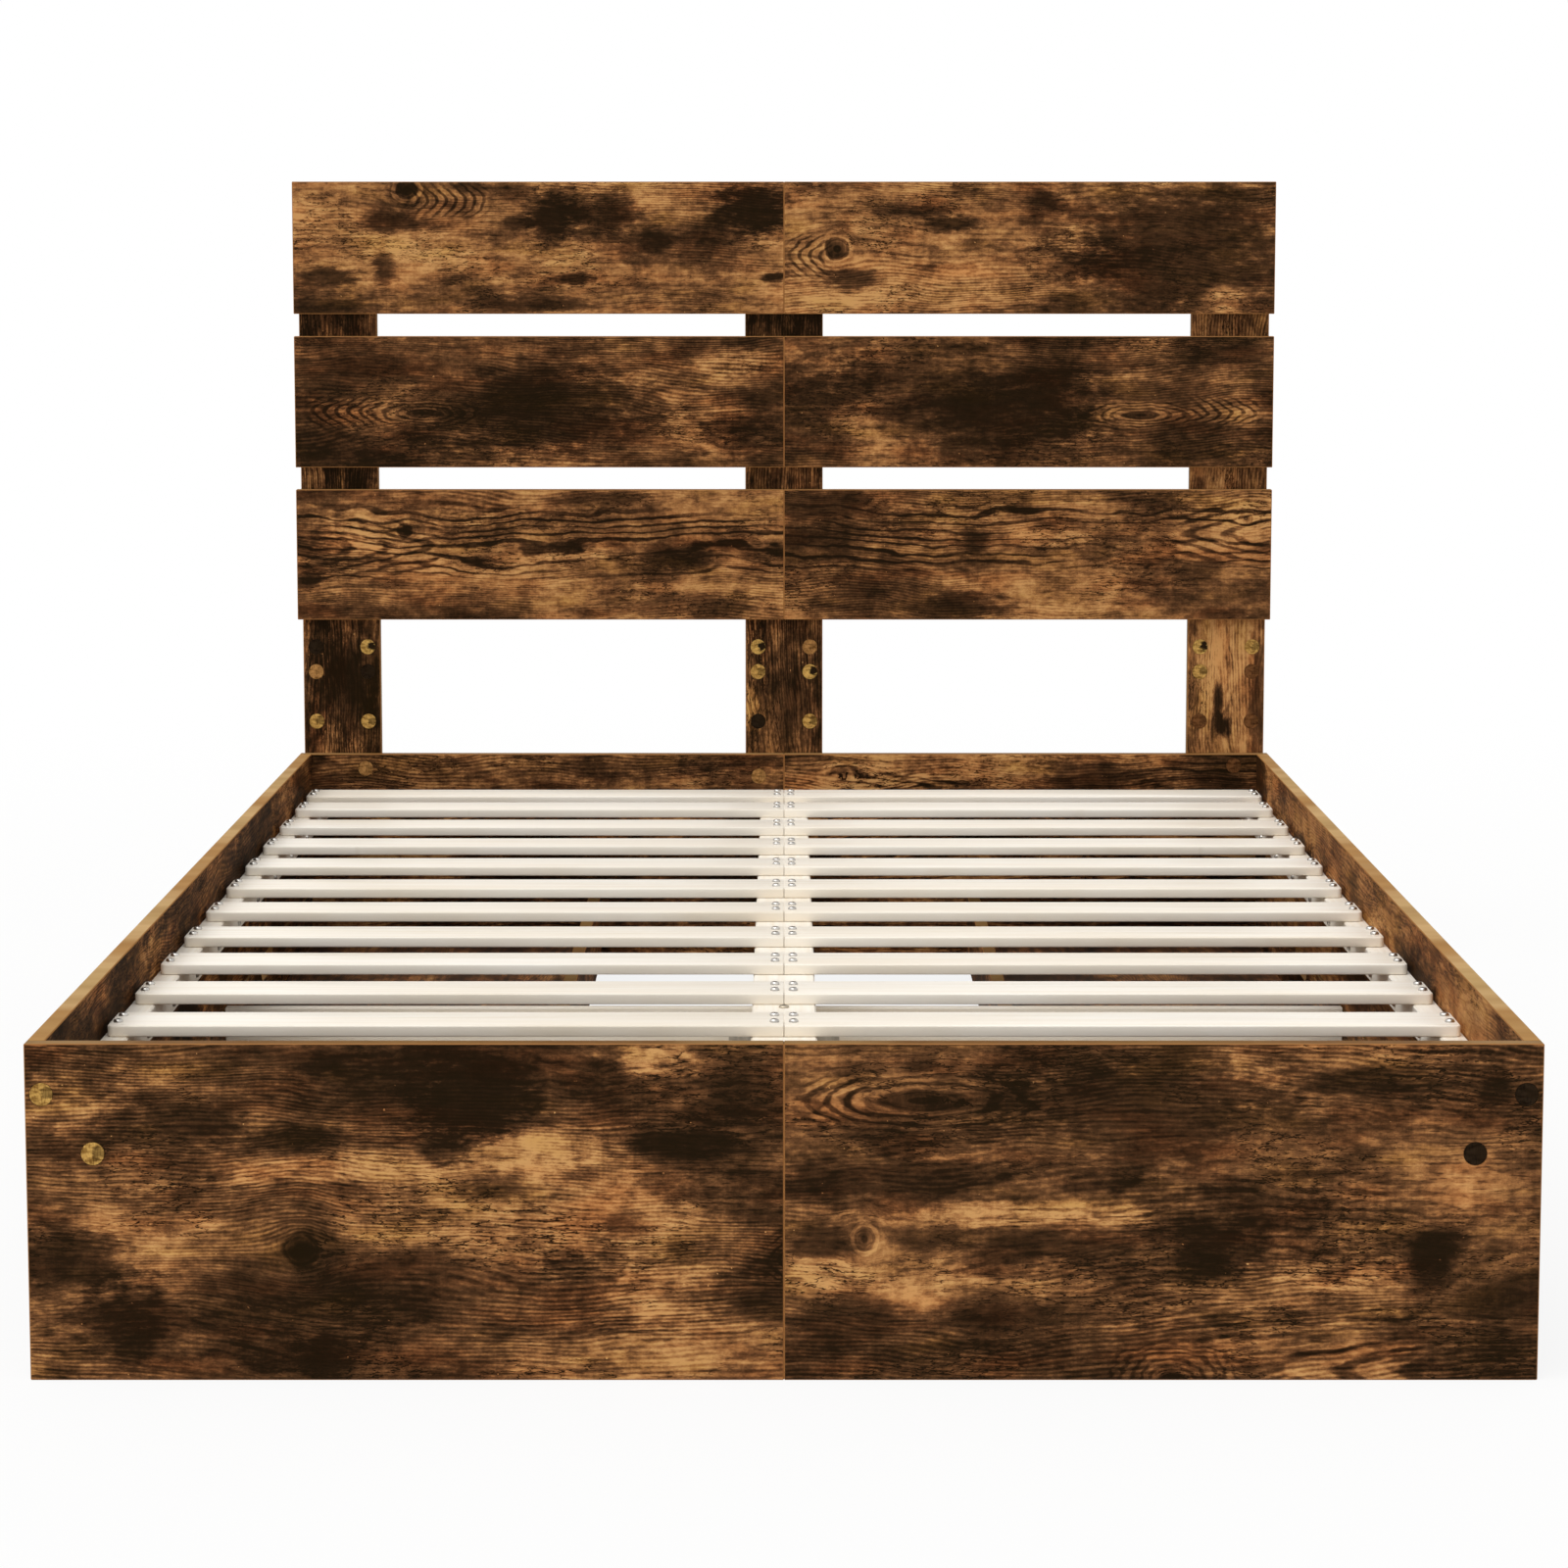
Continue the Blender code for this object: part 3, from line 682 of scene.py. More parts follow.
# %% Headboard rows and posts
ROW_PRINTS = {
    "headboard_row_1_left": dict(
        seed=5.1, tone=0.16, rings=110, ring_strength=0.25,
        knots=[(0.233, 0.94, 0.012, 1.1, 1.8, 1.0)],
        arches=[(0.395, 0.86, 1, 0.12, 0.032, 0.0065, 0.55, 0.016)],
        stains=[(0.206, 0.694, 0.075, 0.075, 0.4), (0.528, 0.743, 0.052, 0.19, 0.52),
                (0.627, 0.76, 0.08, 0.18, 0.42), (0.732, 0.56, 0.045, 0.1, 0.42),
                (0.936, 0.79, 0.09, 0.21, 0.6), (0.36, 0.96, 0.04, 0.06, 0.36),
                (0.456, 0.7, 0.03, 0.085, 0.36), (0.186, 0.35, 0.024, 0.17, 0.34),
                (0.074, 0.277, 0.055, 0.09, 0.36), (0.574, 0.265, 0.05, 0.045, 0.44),
                (0.975, 0.28, 0.028, 0.04, 0.5), (0.515, 0.06, 0.12, 0.055, 0.26),
                (0.06, 0.04, 0.09, 0.06, 0.34), (0.28, 0.5, 0.15, 0.2, -0.1)]),
    "headboard_row_1_right": dict(
        seed=6.2, tone=0.16, rings=120, ring_strength=0.3,
        knots=[(0.108, 0.493, 0.0135, 1.1, 1.5, 1.0)],
        arches=[(0.012, 0.44, -1, 0.06, 0.036, 0.0065, 0.5, 0.014)],
        stains=[(0.14, 0.265, 0.075, 0.095, 0.4), (0.27, 0.78, 0.07, 0.05, 0.34),
                (0.34, 0.67, 0.06, 0.06, 0.34), (0.53, 0.84, 0.045, 0.08, 0.42),
                (0.8, 0.52, 0.24, 0.55, 0.36), (0.6, 0.42, 0.12, 0.16, 0.18),
                (0.9, 0.13, 0.045, 0.13, -0.3), (0.3, 0.3, 0.2, 0.22, -0.08)]),
    "headboard_row_2_left": dict(
        seed=7.3, tone=-0.06, rings=130, ring_strength=0.25,
        knots=[(0.262, 0.414, 0.005, 4.4, 4.0, 0.8)],
        arches=[(0.03, 0.43, -1, 0.1, 0.026, 0.006, 0.4, 0.009)],
        stains=[(0.528, 0.43, 0.2, 0.36, 0.42), (0.13, 0.72, 0.14, 0.2, 0.18), (0.9, 0.8, 0.1, 0.11, -0.24),
                (0.86, 0.32, 0.12, 0.26, -0.14), (0.94, 0.55, 0.06, 0.07, 0.24)]),
    "headboard_row_2_right": dict(
        seed=8.1, tone=-0.06, rings=130, ring_strength=0.25,
        knots=[(0.73, 0.4, 0.005, 4.4, 4.0, 0.8)],
        arches=[(0.97, 0.42, 1, 0.1, 0.026, 0.006, 0.4, 0.009)],
        stains=[(0.455, 0.43, 0.2, 0.36, 0.42), (0.75, 0.46, 0.17, 0.3, 0.16), (0.9, 0.85, 0.1, 0.1, 0.2),
                (0.09, 0.8, 0.1, 0.12, -0.24), (0.15, 0.28, 0.1, 0.22, -0.14),
                (0.08, 0.52, 0.06, 0.06, 0.24)]),
    "headboard_row_3_left": dict(
        seed=9.4, tone=0.09, rings=88, ring_strength=1.35, ring_band=(0.3, 0.84),
        knots=[(0.222, 0.688, 0.0085, 1.1, 1.4, 0.7)],
        arches=[(0.3, 0.56, 1, 0.19, 0.046, 0.01, 0.2, 0.006)],
        stains=[(0.79, 0.48, 0.09, 0.1, 0.38), (0.62, 0.93, 0.14, 0.06, 0.2), (0.02, 0.33, 0.03, 0.09, 0.4),
                (0.78, 0.12, 0.16, 0.1, 0.18), (0.34, 0.8, 0.12, 0.08, -0.18),
                (0.58, 0.5, 0.08, 0.06, -0.2), (0.12, 0.7, 0.14, 0.16, -0.18)]),
    "headboard_row_3_right": dict(
        seed=10.2, tone=0.1, rings=88, ring_strength=1.35, ring_band=(0.4, 0.9),
        knots=[(0.947, 0.78, 0.0085, 1.1, 1.4, 0.7)],
        arches=[(0.8, 0.66, -1, 0.15, 0.046, 0.01, 0.2, 0.006)],
        stains=[(0.385, 0.59, 0.05, 0.095, 0.42), (0.37, 0.1, 0.1, 0.1, 0.36), (0.1, 0.88, 0.14, 0.1, 0.26),
                (0.03, 0.62, 0.06, 0.07, 0.26), (0.55, 0.62, 0.09, 0.06, -0.2),
                (0.86, 0.88, 0.11, 0.08, -0.2)]),
}
POST_PRINTS = {
    "post_left": dict(
        seed=11.3, tone=0.02, contrast=1.35, rings=150, ring_strength=0.5,
        stains=[(0.36, 0.62, 0.06, 0.28, 0.3), (0.85, 0.5, 0.05, 0.6, 0.2)]),
    "post_centre": dict(
        seed=12.4, tone=0.0, contrast=1.25, rings=150, ring_strength=0.45,
        stains=[(0.34, 0.55, 0.045, 0.35, 0.26), (0.4, 0.86, 0.02, 0.16, -0.22)]),
    "post_right": dict(
        seed=13.2, tone=0.2, rings=130, ring_strength=0.5,
        stains=[(0.318, 0.45, 0.016, 0.14, 0.5), (0.345, 0.4, 0.03, 0.07, 0.45),
                (0.33, 0.92, 0.12, 0.12, 0.22), (0.37, 0.06, 0.1, 0.1, 0.25)]),
}
for board, finish in ROW_PRINTS.items():
    board_material(board, "X", "Z", **finish)
for board, finish in POST_PRINTS.items():
    board_material(board, "Z", "X", **finish)
print("finished:", len(ROW_PRINTS), "headboard boards and", len(POST_PRINTS), "posts")

# %% [markdown]
# The side rails and the drawers carry the same print. Every rail and every drawer front has a seed of
# its own, and its knots and stains lie in other places. The drawers' other boards are hardly seen, so
# they have no knots or stains, and the two end walls of a drawer share one seed.

# %% Side rails and drawer boards
SIDES = {"left": -1, "right": 1}
ENDS = ("foot", "head")
# The rails' tones are partly painted light. The inner face of the left rail is darker, as painted shade. The
# inner face of the right rail is lighter, as painted light from the key lamp. The right rail's lower
# contrast, on both its faces, paints a pale sheen.
RAIL_PRINTS = {
    "left": dict(
        seed=13.5, tone=0.05, back_tone=-0.05, contrast=0.9,
        knots=[(0.46, 0.55, 0.012, 1.2, 1.8, 1.0), (0.9, 0.7, 0.006, 4.0, 3.6, 0.5)],
        stains=[(0.12, 0.6, 0.06, 0.22, 0.38), (0.36, 0.3, 0.09, 0.16, 0.34), (0.58, 0.72, 0.05, 0.18, 0.42),
                (0.82, 0.4, 0.08, 0.24, 0.36), (0.25, 0.8, 0.08, 0.14, -0.18),
                (0.7, 0.2, 0.1, 0.14, -0.18)]),
    "right": dict(
        seed=15.5, tone=0.18, back_tone=0.05, contrast=0.6,
        knots=[(0.2, 0.3, 0.013, 1.1, 1.8, 1.0), (0.62, 0.66, 0.006, 4.2, 3.6, 0.5)],
        stains=[(0.08, 0.42, 0.06, 0.2, 0.38), (0.3, 0.7, 0.07, 0.16, 0.36), (0.52, 0.28, 0.08, 0.2, 0.36),
                (0.76, 0.62, 0.07, 0.18, 0.42), (0.42, 0.66, 0.08, 0.16, -0.18),
                (0.86, 0.25, 0.07, 0.16, -0.12), (0.985, 0.5, 0.05, 0.9, 0.4)]),
}
RAIL_BAND_TINT = linear(255, 255, 250)
RAIL_GLOSS = 0.004
FRONT_STEP = 0.11
FRONT_SEED = 17.3
BACK_SEED = 23.1
WALL_SEED = 38.7
RAIL_FINISH = dict(rings=95, ring_strength=0.55, gloss=RAIL_GLOSS, band_tint=RAIL_BAND_TINT)
FRONT_FINISH = dict(tone=-0.01, rings=110, ring_strength=0.6)
HIDDEN_FINISH = dict(tone=-0.04, rings=100)

for side, finish in RAIL_PRINTS.items():
    board_material("side_rail_" + side, "Y", "Z", **RAIL_FINISH, **finish)

drawers = [(side, end) for side in SIDES for end in ENDS]
for number, (side, end) in enumerate(drawers):
    drawer = f"drawer_{side}_{end}"
    shift = FRONT_STEP * number
    board_material(
        drawer + "_front", "Y", "Z", FRONT_SEED + number, **FRONT_FINISH,
        knots=[(0.24 + shift, 0.5, 0.009, 1.4, 2.2, 0.9)],
        stains=[(0.12 + shift, 0.7, 0.07, 0.3, 0.4), (0.5 + shift, 0.3, 0.09, 0.24, 0.34),
                (0.88 - shift, 0.6, 0.06, 0.26, 0.38), (0.66 - shift, 0.75, 0.1, 0.2, -0.18)])
    hidden = {"_back": ("Y", BACK_SEED), "_foot_wall": ("X", WALL_SEED), "_head_wall": ("X", WALL_SEED)}
    for part, (along, seed) in hidden.items():
        board_material(drawer + part, along, "Z", seed + number, **HIDDEN_FINISH)
print("printed boards:", sum(name.endswith("_print") for name in bpy.data.materials.keys()))

# %% [markdown]
# The slat base is softwood with a smooth cream finish. Close up it still has faint grain and tiny
# colour changes, which keep large pale surfaces from looking like plastic.

# %% Cream finish
CREAM_CLOUD = (2.2, 9.0, 31.0, 3.0, 0.5)
CREAM_GRAIN = (5.0, 190, 32.0)
CREAM_MARKS = (0.68, 0.80, 30, 160, 33.0, 2.0)
CREAM_STOPS = [(0.34, linear(248, 239, 224)), (0.66, linear(252, 246, 235))]
CREAM_GRAIN_STOPS = [(0.32, linear(244, 239, 230)), (0.60, linear(255, 255, 255))]
CREAM_GRAIN_SHARE = 0.75
CREAM_MARK_SHARE = 0.25
CREAM_MARK_COLOUR = linear(214, 196, 168)
CREAM_ROUGHNESS = 0.36
CREAM_GRAIN_ROUGHNESS = 0.16
CREAM_BUMP = (0.12, 0.0003)


def cream_group():
    """Cream film with faint grain."""
    given, out = shader_group("cream_film", ["Vector"], [], FILM_OUTPUTS)
    grain = board_noise(given["Vector"], *CREAM_GRAIN)
    colour = ramp(board_noise(given["Vector"], *CREAM_CLOUD), CREAM_STOPS)
    colour = tint(CREAM_GRAIN_SHARE, colour, ramp(grain, CREAM_GRAIN_STOPS))
    mark_share = places(given["Vector"], *CREAM_MARKS) * CREAM_MARK_SHARE
    return finish_group(out, {"Color": mix_colour(mark_share, colour, CREAM_MARK_COLOUR),
                              "Roughness": CREAM_ROUGHNESS + grain * CREAM_GRAIN_ROUGHNESS,
                              "Height": grain})


CREAM = cream_group()


def cream_material(title, along, across):
    """Cream finish with its grain along one axis."""
    material, shader = new_material(title)
    parts = split(coordinates(shader))
    vector = combine(X=parts[along], Y=parts[across], Z=parts[other_axis(along, across)])
    film = use_group(CREAM, {"Vector": vector})
    connect(shader, {"Base Color": film["Color"], "Roughness": film["Roughness"],
                     "Normal": bump(film["Height"], *CREAM_BUMP)})
    return material


CREAM_ALONG_SLATS = cream_material("cream_slat", "X", "Y")
CREAM_ALONG_BED = cream_material("cream_batten", "Y", "X")
CREAM_PANEL = cream_material("cream_panel", "X", "Z")
for node in ("slat_batten_left", "slat_batten_right", "centre_beam"):
    nodes[node].material_slots[0].material = CREAM_ALONG_BED
for node in ("support_panel_foot", "support_panel_head"):
    nodes[node].material_slots[0].material = CREAM_PANEL

# %% [markdown]
# New pieces start as a bmesh. Each is drawn where it belongs, its object stays at the origin, and it
# rides on a body. Most start as a block whose edges are then rounded or finely broken.

# %% Helpers for new pieces
SHARP_ANGLE = math.radians(35)


def block(low, high):
    """Plain box, the start of a piece."""
    bm = bmesh.new()
    place = Matrix.Translation((low + high) / 2) @ Matrix.Diagonal((*(high - low), 1))
    bmesh.ops.create_cube(bm, size=1, matrix=place)
    return bm


def bevel(bm, edges, offset, segments=1):
    """Round some edges, or break them with one segment."""
    bmesh.ops.bevel(bm, geom=edges, offset=offset, segments=segments, affect="EDGES", profile=0.5,
                    material=-1)


def new_mesh(name, bm):
    """Mesh from a finished bmesh."""
    mesh = bpy.data.meshes.new(name)
    bm.to_mesh(mesh)
    bm.free()
    return mesh


def finish_piece(name, bm, materials, body):
    """Object from a bmesh, riding on a body."""
    mesh = new_mesh(name, bm)
    for material in materials:
        mesh.materials.append(material)
    mesh.shade_smooth()
    mesh.set_sharp_from_angle(angle=SHARP_ANGLE)
    piece = new_object(name, mesh)
    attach(piece, body)
    return piece

# %% [markdown]
# Each row of the base is two slats that meet over the centre beam. The CAD model has one solid per row,
# and the two halves here stand for it. The corners at a slat's outer end are rounded, and so are its
# long edges, so light rolls over them. The joint over the beam stays square with a fine broken edge.

# %% Slat halves
SLAT_ROWS = 12
HALF_JOINT_GAP = 0.0005
SLAT_ROUNDING = 0.0013
ROUNDING_STEPS = 3
SLAT_CORNER = 0.006
CORNER_STEPS = 6
SLAT_END_EDGE = 0.0007
SAME_PLACE = 0.00001


def edges_at(bm, x):
    """Edges that lie wholly at one place along the slat."""
    return [edge for edge in bm.edges if all(abs(vert.co.x - x) < SAME_PLACE for vert in edge.verts)]


def slat_half(low, high, joint_x):
    """Slat from its outer end to the joint over the beam."""
    bm = block(low, high)
    ends = edges_at(bm, low.x + high.x - joint_x)
    corners = [edge for edge in ends if abs(edge.verts[0].co.z - edge.verts[1].co.z) > 0]
    bevel(bm, corners, SLAT_CORNER, CORNER_STEPS)
    joint = set(edges_at(bm, joint_x))
    rims = [edge for edge in bm.edges if edge not in joint and edge.verts[0].co.z == edge.verts[1].co.z]
    bevel(bm, rims, SLAT_ROUNDING, ROUNDING_STEPS)
    bevel(bm, edges_at(bm, joint_x), SLAT_END_EDGE, 2)
    return bm


for row in range(1, SLAT_ROWS + 1):
    node = f"slat_{row:02d}"
    low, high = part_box(node)
    for side, sign in SIDES.items():
        joint_x = sign * HALF_JOINT_GAP / 2
        start, stop = sorted((joint_x, sign * high.x))
        bm = slat_half(Vector((start, low.y, low.z)), Vector((stop, high.y, high.z)), joint_x)
        half = finish_piece(f"{node}_{side}", bm, [CREAM_ALONG_SLATS], "frame")
        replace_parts(half, node)
print("slat halves:", 2 * SLAT_ROWS, "with", len(half.data.polygons), "faces each")

# %% [markdown]
# The small fittings are zinc-plated steel. A group gives them dull patches and fine scratches, so that their
# highlights break up. The recess of a screw is painted darker, as painted shade, and hardly shines.

# %% Metal finishes
METAL_CLOUD = (120, 120, 41.0)
METAL_SCRATCHES = (0.25, 60, 900, 42.0, 2.0)
METAL_STOPS = [(0.35, linear(206, 206, 208)), (0.65, linear(255, 255, 255))]
METAL_CLOUD_SHARE = 0.7


def metal_group():
    """Dull patches and fine scratches."""
    given, out = shader_group("plated_metal", ["Vector"], [], {"Shade": "Color", "Scratches": "Float"})
    return finish_group(out, {"Shade": ramp(board_noise(given["Vector"], *METAL_CLOUD), METAL_STOPS),
                              "Scratches": swing(given["Vector"], *METAL_SCRATCHES)})


METAL = metal_group()


def metal_material(title, colour, roughness, metallic=1.0):
    """Plated metal."""
    material, shader = new_material(title)
    wear = use_group(METAL, {"Vector": coordinates(shader)})
    connect(shader, {"Base Color": tint(METAL_CLOUD_SHARE, colour, wear["Shade"]),
                     "Metallic": metallic, "Roughness": roughness + wear["Scratches"]})
    return material


ZINC = metal_material("zinc_plated", linear(206, 202, 195), 0.34)
# Painted shade for the screw recesses: a dark, dull metal.
RECESS_SHADE = metal_material("screw_recess_painted_shade", linear(66, 62, 58), 0.60, 0.4)
BOLT_STEEL = metal_material("dark_bolt", linear(190, 178, 158), 0.45)

# %% [markdown]
# The slats are held by small pan-head screws. A disc that is extruded and then inset three times gives
# the rounded head. Pulling every second pair of points inwards turns the last inset into the cross of
# a driver recess, which is then pushed down. A head has fewer than a hundred faces, because the bed has
# more than a hundred heads.

# %% Screw heads
HEAD_SIDES = 16
HEAD_RISE_SHARE = 0.45
HEAD_INSETS = ((0.12, 0.35), (0.18, 0.20), (0.10, 0))
HEAD_RECESS = (0.03, -0.55)
ARM_REACH_SHARE = 0.60
NOTCH_REACH_SHARE = 0.20


def pull_into_cross(face, middle, radius):
    """Pull the points of a round face onto a cross: arms and notches by turns, four of each."""
    quarter = len(face.verts) // 4
    for number, vert in enumerate(face.verts):
        share = ARM_REACH_SHARE if number % quarter < quarter / 2 else NOTCH_REACH_SHARE
        vert.co = middle + (vert.co - middle).normalized() * radius * share


def screw_head(radius, height):
    """Mesh of one pan head that stands on the XY plane."""
    bm = bmesh.new()
    turn = Matrix.Rotation(math.radians(-180 / HEAD_SIDES), 4, "Z")
    bmesh.ops.create_circle(bm, cap_ends=True, segments=HEAD_SIDES, radius=radius, matrix=turn)
    raised = bmesh.ops.extrude_face_region(bm, geom=bm.faces[:])["geom"]
    top = next(item for item in raised if isinstance(item, bmesh.types.BMFace))
    bmesh.ops.translate(bm, verts=top.verts[:], vec=(0, 0, height * HEAD_RISE_SHARE))
    for inset, rise in HEAD_INSETS:
        bmesh.ops.inset_region(bm, faces=[top], thickness=radius * inset, depth=height * rise)
    pull_into_cross(top, Vector((0, 0, top.verts[0].co.z)), radius)
    inset, rise = HEAD_RECESS
    walls = bmesh.ops.inset_region(bm, faces=[top], thickness=radius * inset, depth=height * rise)["faces"]
    # The recess walls and floor take the second material, the painted shade.
    for face in [*walls, top]:
        face.material_index = 1
    bmesh.ops.recalc_face_normals(bm, faces=bm.faces)
    return new_mesh("screw_head", bm)


def stamp(bm, mesh, place):
    """Add a copy of a mesh to a bmesh at a place."""
    moved = mesh.copy()
    moved.transform(place)
    bm.from_mesh(moved)
    bpy.data.meshes.remove(moved)


def heads_piece(name, mesh, spots, metal=ZINC):
    """One piece that holds a copy of a head at each spot."""
    bm = bmesh.new()
    for spot in spots:
        stamp(bm, mesh, spot)
    finish_piece(name, bm, [metal, RECESS_SHADE], "frame")

# %% [markdown]
# Two screws go through each slat end, side by side along the bed. Every head is turned a little
# differently, as a driver leaves them. A further screw in each bay holds the batten to the rail.

# %% Slat and batten screws
SLAT_SCREW_RADIUS = 0.0043
SLAT_SCREW_HEIGHT = 0.0027
SLAT_SCREW_SPACING = 0.032
OUTER_END_DISTANCE = 0.0075
CENTRE_DISTANCE = 0.0085
BATTEN_SCREW_DROP = 0.018
TURN_STEP = math.radians(37)
FACING = {
    "+Z": Matrix.Identity(4),
    "-Y": Matrix.Rotation(math.radians(90), 4, "X"),
    "+Y": Matrix.Rotation(math.radians(-90), 4, "X"),
    "+X": Matrix.Rotation(math.radians(90), 4, "Y"),
    "-X": Matrix.Rotation(math.radians(-90), 4, "Y"),
}


def head_spot(point, facing, number):
    """Matrix that stands a head on a surface, turned by its number."""
    return Matrix.Translation(point) @ FACING[facing] @ Matrix.Rotation(number * TURN_STEP, 4, "Z")


slat_head = screw_head(SLAT_SCREW_RADIUS, SLAT_SCREW_HEIGHT)
for row in range(1, SLAT_ROWS + 1):
    low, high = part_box(f"slat_{row:02d}")
    middle = (low.y + high.y) / 2
    spots = []
    for x in (low.x + OUTER_END_DISTANCE, -CENTRE_DISTANCE, CENTRE_DISTANCE, high.x - OUTER_END_DISTANCE):
        for step in (-0.5, 0.5):
            point = (x, middle + step * SLAT_SCREW_SPACING, high.z)
            spots.append(head_spot(point, "+Z", len(spots) + row))
    heads_piece(f"slat_{row:02d}_screws", slat_head, spots)

for side, sign in SIDES.items():
    low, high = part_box("slat_batten_" + side)
    inner_face = high.x if sign < 0 else low.x
    spots = []
    for row in range(1, SLAT_ROWS):
        bay = (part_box(f"slat_{row:02d}")[1].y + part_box(f"slat_{row + 1:02d}")[0].y) / 2
        point = (inner_face, bay, high.z - BATTEN_SCREW_DROP)
        spots.append(head_spot(point, "+X" if sign < 0 else "-X", row))
    heads_piece(f"slat_batten_{side}_screws", slat_head, spots)
print("screw head faces:", len(slat_head.polygons))

# %% [markdown]
# A leg is bolted under the beam, and the bolt's steel head shows in one bay between two slats. At
# mid-length, steel angle brackets tie the legs to the cross panels. A bracket is an L-shaped outline
# with its inner corner filled a little, as a bend fills it, and it is extruded to its width.

# %% Beam bolt and angle brackets
BOLT_RADIUS = 0.0048
BOLT_HEIGHT = 0.0022
BOLT_SETBACK = 0.013
BRACKET_ARM = 0.037
BRACKET_WIDTH = 0.020
BRACKET_THICKNESS = 0.002
BRACKET_EDGE = BRACKET_THICKNESS / 8
BRACKET_HEIGHT = 0.081
BRACKET_SCREW_REACH = 0.031
BRACKET_SCREW_RADIUS = 0.0034
LEG_HALF = 0.0225
PANEL_THICKNESS = 0.015

bolt_point = (0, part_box("slat_03")[0].y - BOLT_SETBACK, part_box("centre_beam")[1].z)
heads_piece("centre_beam_bolt", screw_head(BOLT_RADIUS, BOLT_HEIGHT), [head_spot(bolt_point, "+Z", 1)],
            BOLT_STEEL)


def bracket_piece(name, corner_x, corner_y, sign_x, sign_y):
    """Angle bracket in the corner between a leg and a panel, with its screws."""
    bm = bmesh.new()
    inner = BRACKET_THICKNESS
    outline = [(0, 0), (BRACKET_ARM, 0), (BRACKET_ARM, inner), (inner * 2, inner), (inner, inner * 2),
               (inner, BRACKET_ARM), (0, BRACKET_ARM)]
    bottom = BRACKET_HEIGHT - BRACKET_WIDTH / 2
    points = [bm.verts.new((corner_x + sign_x * x, corner_y + sign_y * y, bottom)) for x, y in outline]
    raised = bmesh.ops.extrude_face_region(bm, geom=[bm.faces.new(points)])["geom"]
    bmesh.ops.translate(bm, verts=[item for item in raised if isinstance(item, bmesh.types.BMVert)],
                        vec=(0, 0, BRACKET_WIDTH))
    bmesh.ops.recalc_face_normals(bm, faces=bm.faces)
    bevel(bm, bm.edges[:], BRACKET_EDGE)
    head = screw_head(BRACKET_SCREW_RADIUS, inner)
    on_panel = (corner_x + sign_x * BRACKET_SCREW_REACH, corner_y + sign_y * inner, BRACKET_HEIGHT)
    stamp(bm, head, head_spot(on_panel, "+Y" if sign_y > 0 else "-Y", 1))
    on_leg = (corner_x + sign_x * inner, corner_y + sign_y * BRACKET_SCREW_REACH, BRACKET_HEIGHT)
    stamp(bm, head, head_spot(on_leg, "+X" if sign_x > 0 else "-X", 2))
    return finish_piece(name, bm, [ZINC, RECESS_SHADE], "frame")


for end in ENDS:
    low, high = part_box("support_panel_" + end)
    inner_face = low.y + PANEL_THICKNESS if end == "foot" else high.y - PANEL_THICKNESS
    for side, sign in SIDES.items():
        bracket = bracket_piece(f"angle_bracket_{end}_{side}", sign * LEG_HALF, inner_face, sign,
                                1 if end == "foot" else -1)
print("bracket faces:", len(bracket.data.polygons))

# %% [markdown]
# Round cover caps hide the joint holes. They carry the same print, but cut from other places of it, so some
# are golden, tan or brown, and some almost black. Each kind also gets a painted shade over one side of its
# disc, which leaves a lit crescent and is darkest on the crescent caps. Each cap has its own UV map that
# runs from -1 to 1 across the disc, so one group can place the painted shade on every cap.

# %% Cap finishes
CAP_OUTPUTS = {"Fibre": "Float", "Worn": "Color", "Painted Shade": "Float", "Roughness": "Float"}
CAP_FIBRE = (7.0, 0.9, 51.0, 4.0)
CAP_FIBRE_PLACES = (0.30, 0.50, 0.66, 0.80)
CAP_PATCHES = (110, 260, 52.0, 4.0)
CAP_WEAR_STOPS = [(0.36, linear(150, 135, 115)), (0.56, linear(255, 255, 255))]
CAP_WEAR_SHARE = 0.85
# The crescent values place and colour the painted shade on a cap.
CRESCENT_CENTRE = (0.52, 0.08, 0)
CRESCENT_RAGGED = 1.2
CRESCENT_EDGE = (0.42, 0.68)
CRESCENT_SHADOW = linear(38, 27, 15)
CAP_ROUGHNESS = 0.45
CAP_ROUGHNESS_SWING = 0.2


def cap_group():
    """Grain and worn patches of a cap, and the painted shade that leaves a lit crescent."""
    given, out = shader_group("cover_cap", ["Vector", "Disc"], [], CAP_OUTPUTS)
    parts = split(given["Vector"])
    patches = board_noise(combine(X=parts["X"], Y=parts["Z"]), *CAP_PATCHES)
    away = vector_maths("LENGTH", vector_maths("SUBTRACT", given["Disc"], CRESCENT_CENTRE), output="Value")
    return finish_group(out, {
        "Fibre": board_noise(given["Disc"], *CAP_FIBRE),
        "Worn": ramp(patches, CAP_WEAR_STOPS),
        "Painted Shade": fall(away + centred(patches, CRESCENT_RAGGED), *CRESCENT_EDGE),
        "Roughness": CAP_ROUGHNESS + centred(patches, CAP_ROUGHNESS_SWING)})


CAP = cap_group()


def cap_material(title, bright, dark, shadow_share):
    """Finish of one kind of cap."""
    material, shader = new_material(title)
    film = use_group(CAP, {"Vector": coordinates(shader), "Disc": coordinates(shader, "UV")})
    colour = ramp(film["Fibre"], list(zip(CAP_FIBRE_PLACES, (dark, bright, dark, bright))))
    colour = tint(CAP_WEAR_SHARE, colour, film["Worn"])
    # Painted shade darkens one side of the disc and leaves a lit crescent.
    colour = mix_colour(film["Painted Shade"] * shadow_share, colour, CRESCENT_SHADOW)
    connect(shader, {"Base Color": colour, "Roughness": film["Roughness"],
                     "Specular IOR Level": PRINT_GLOSS})
    return material


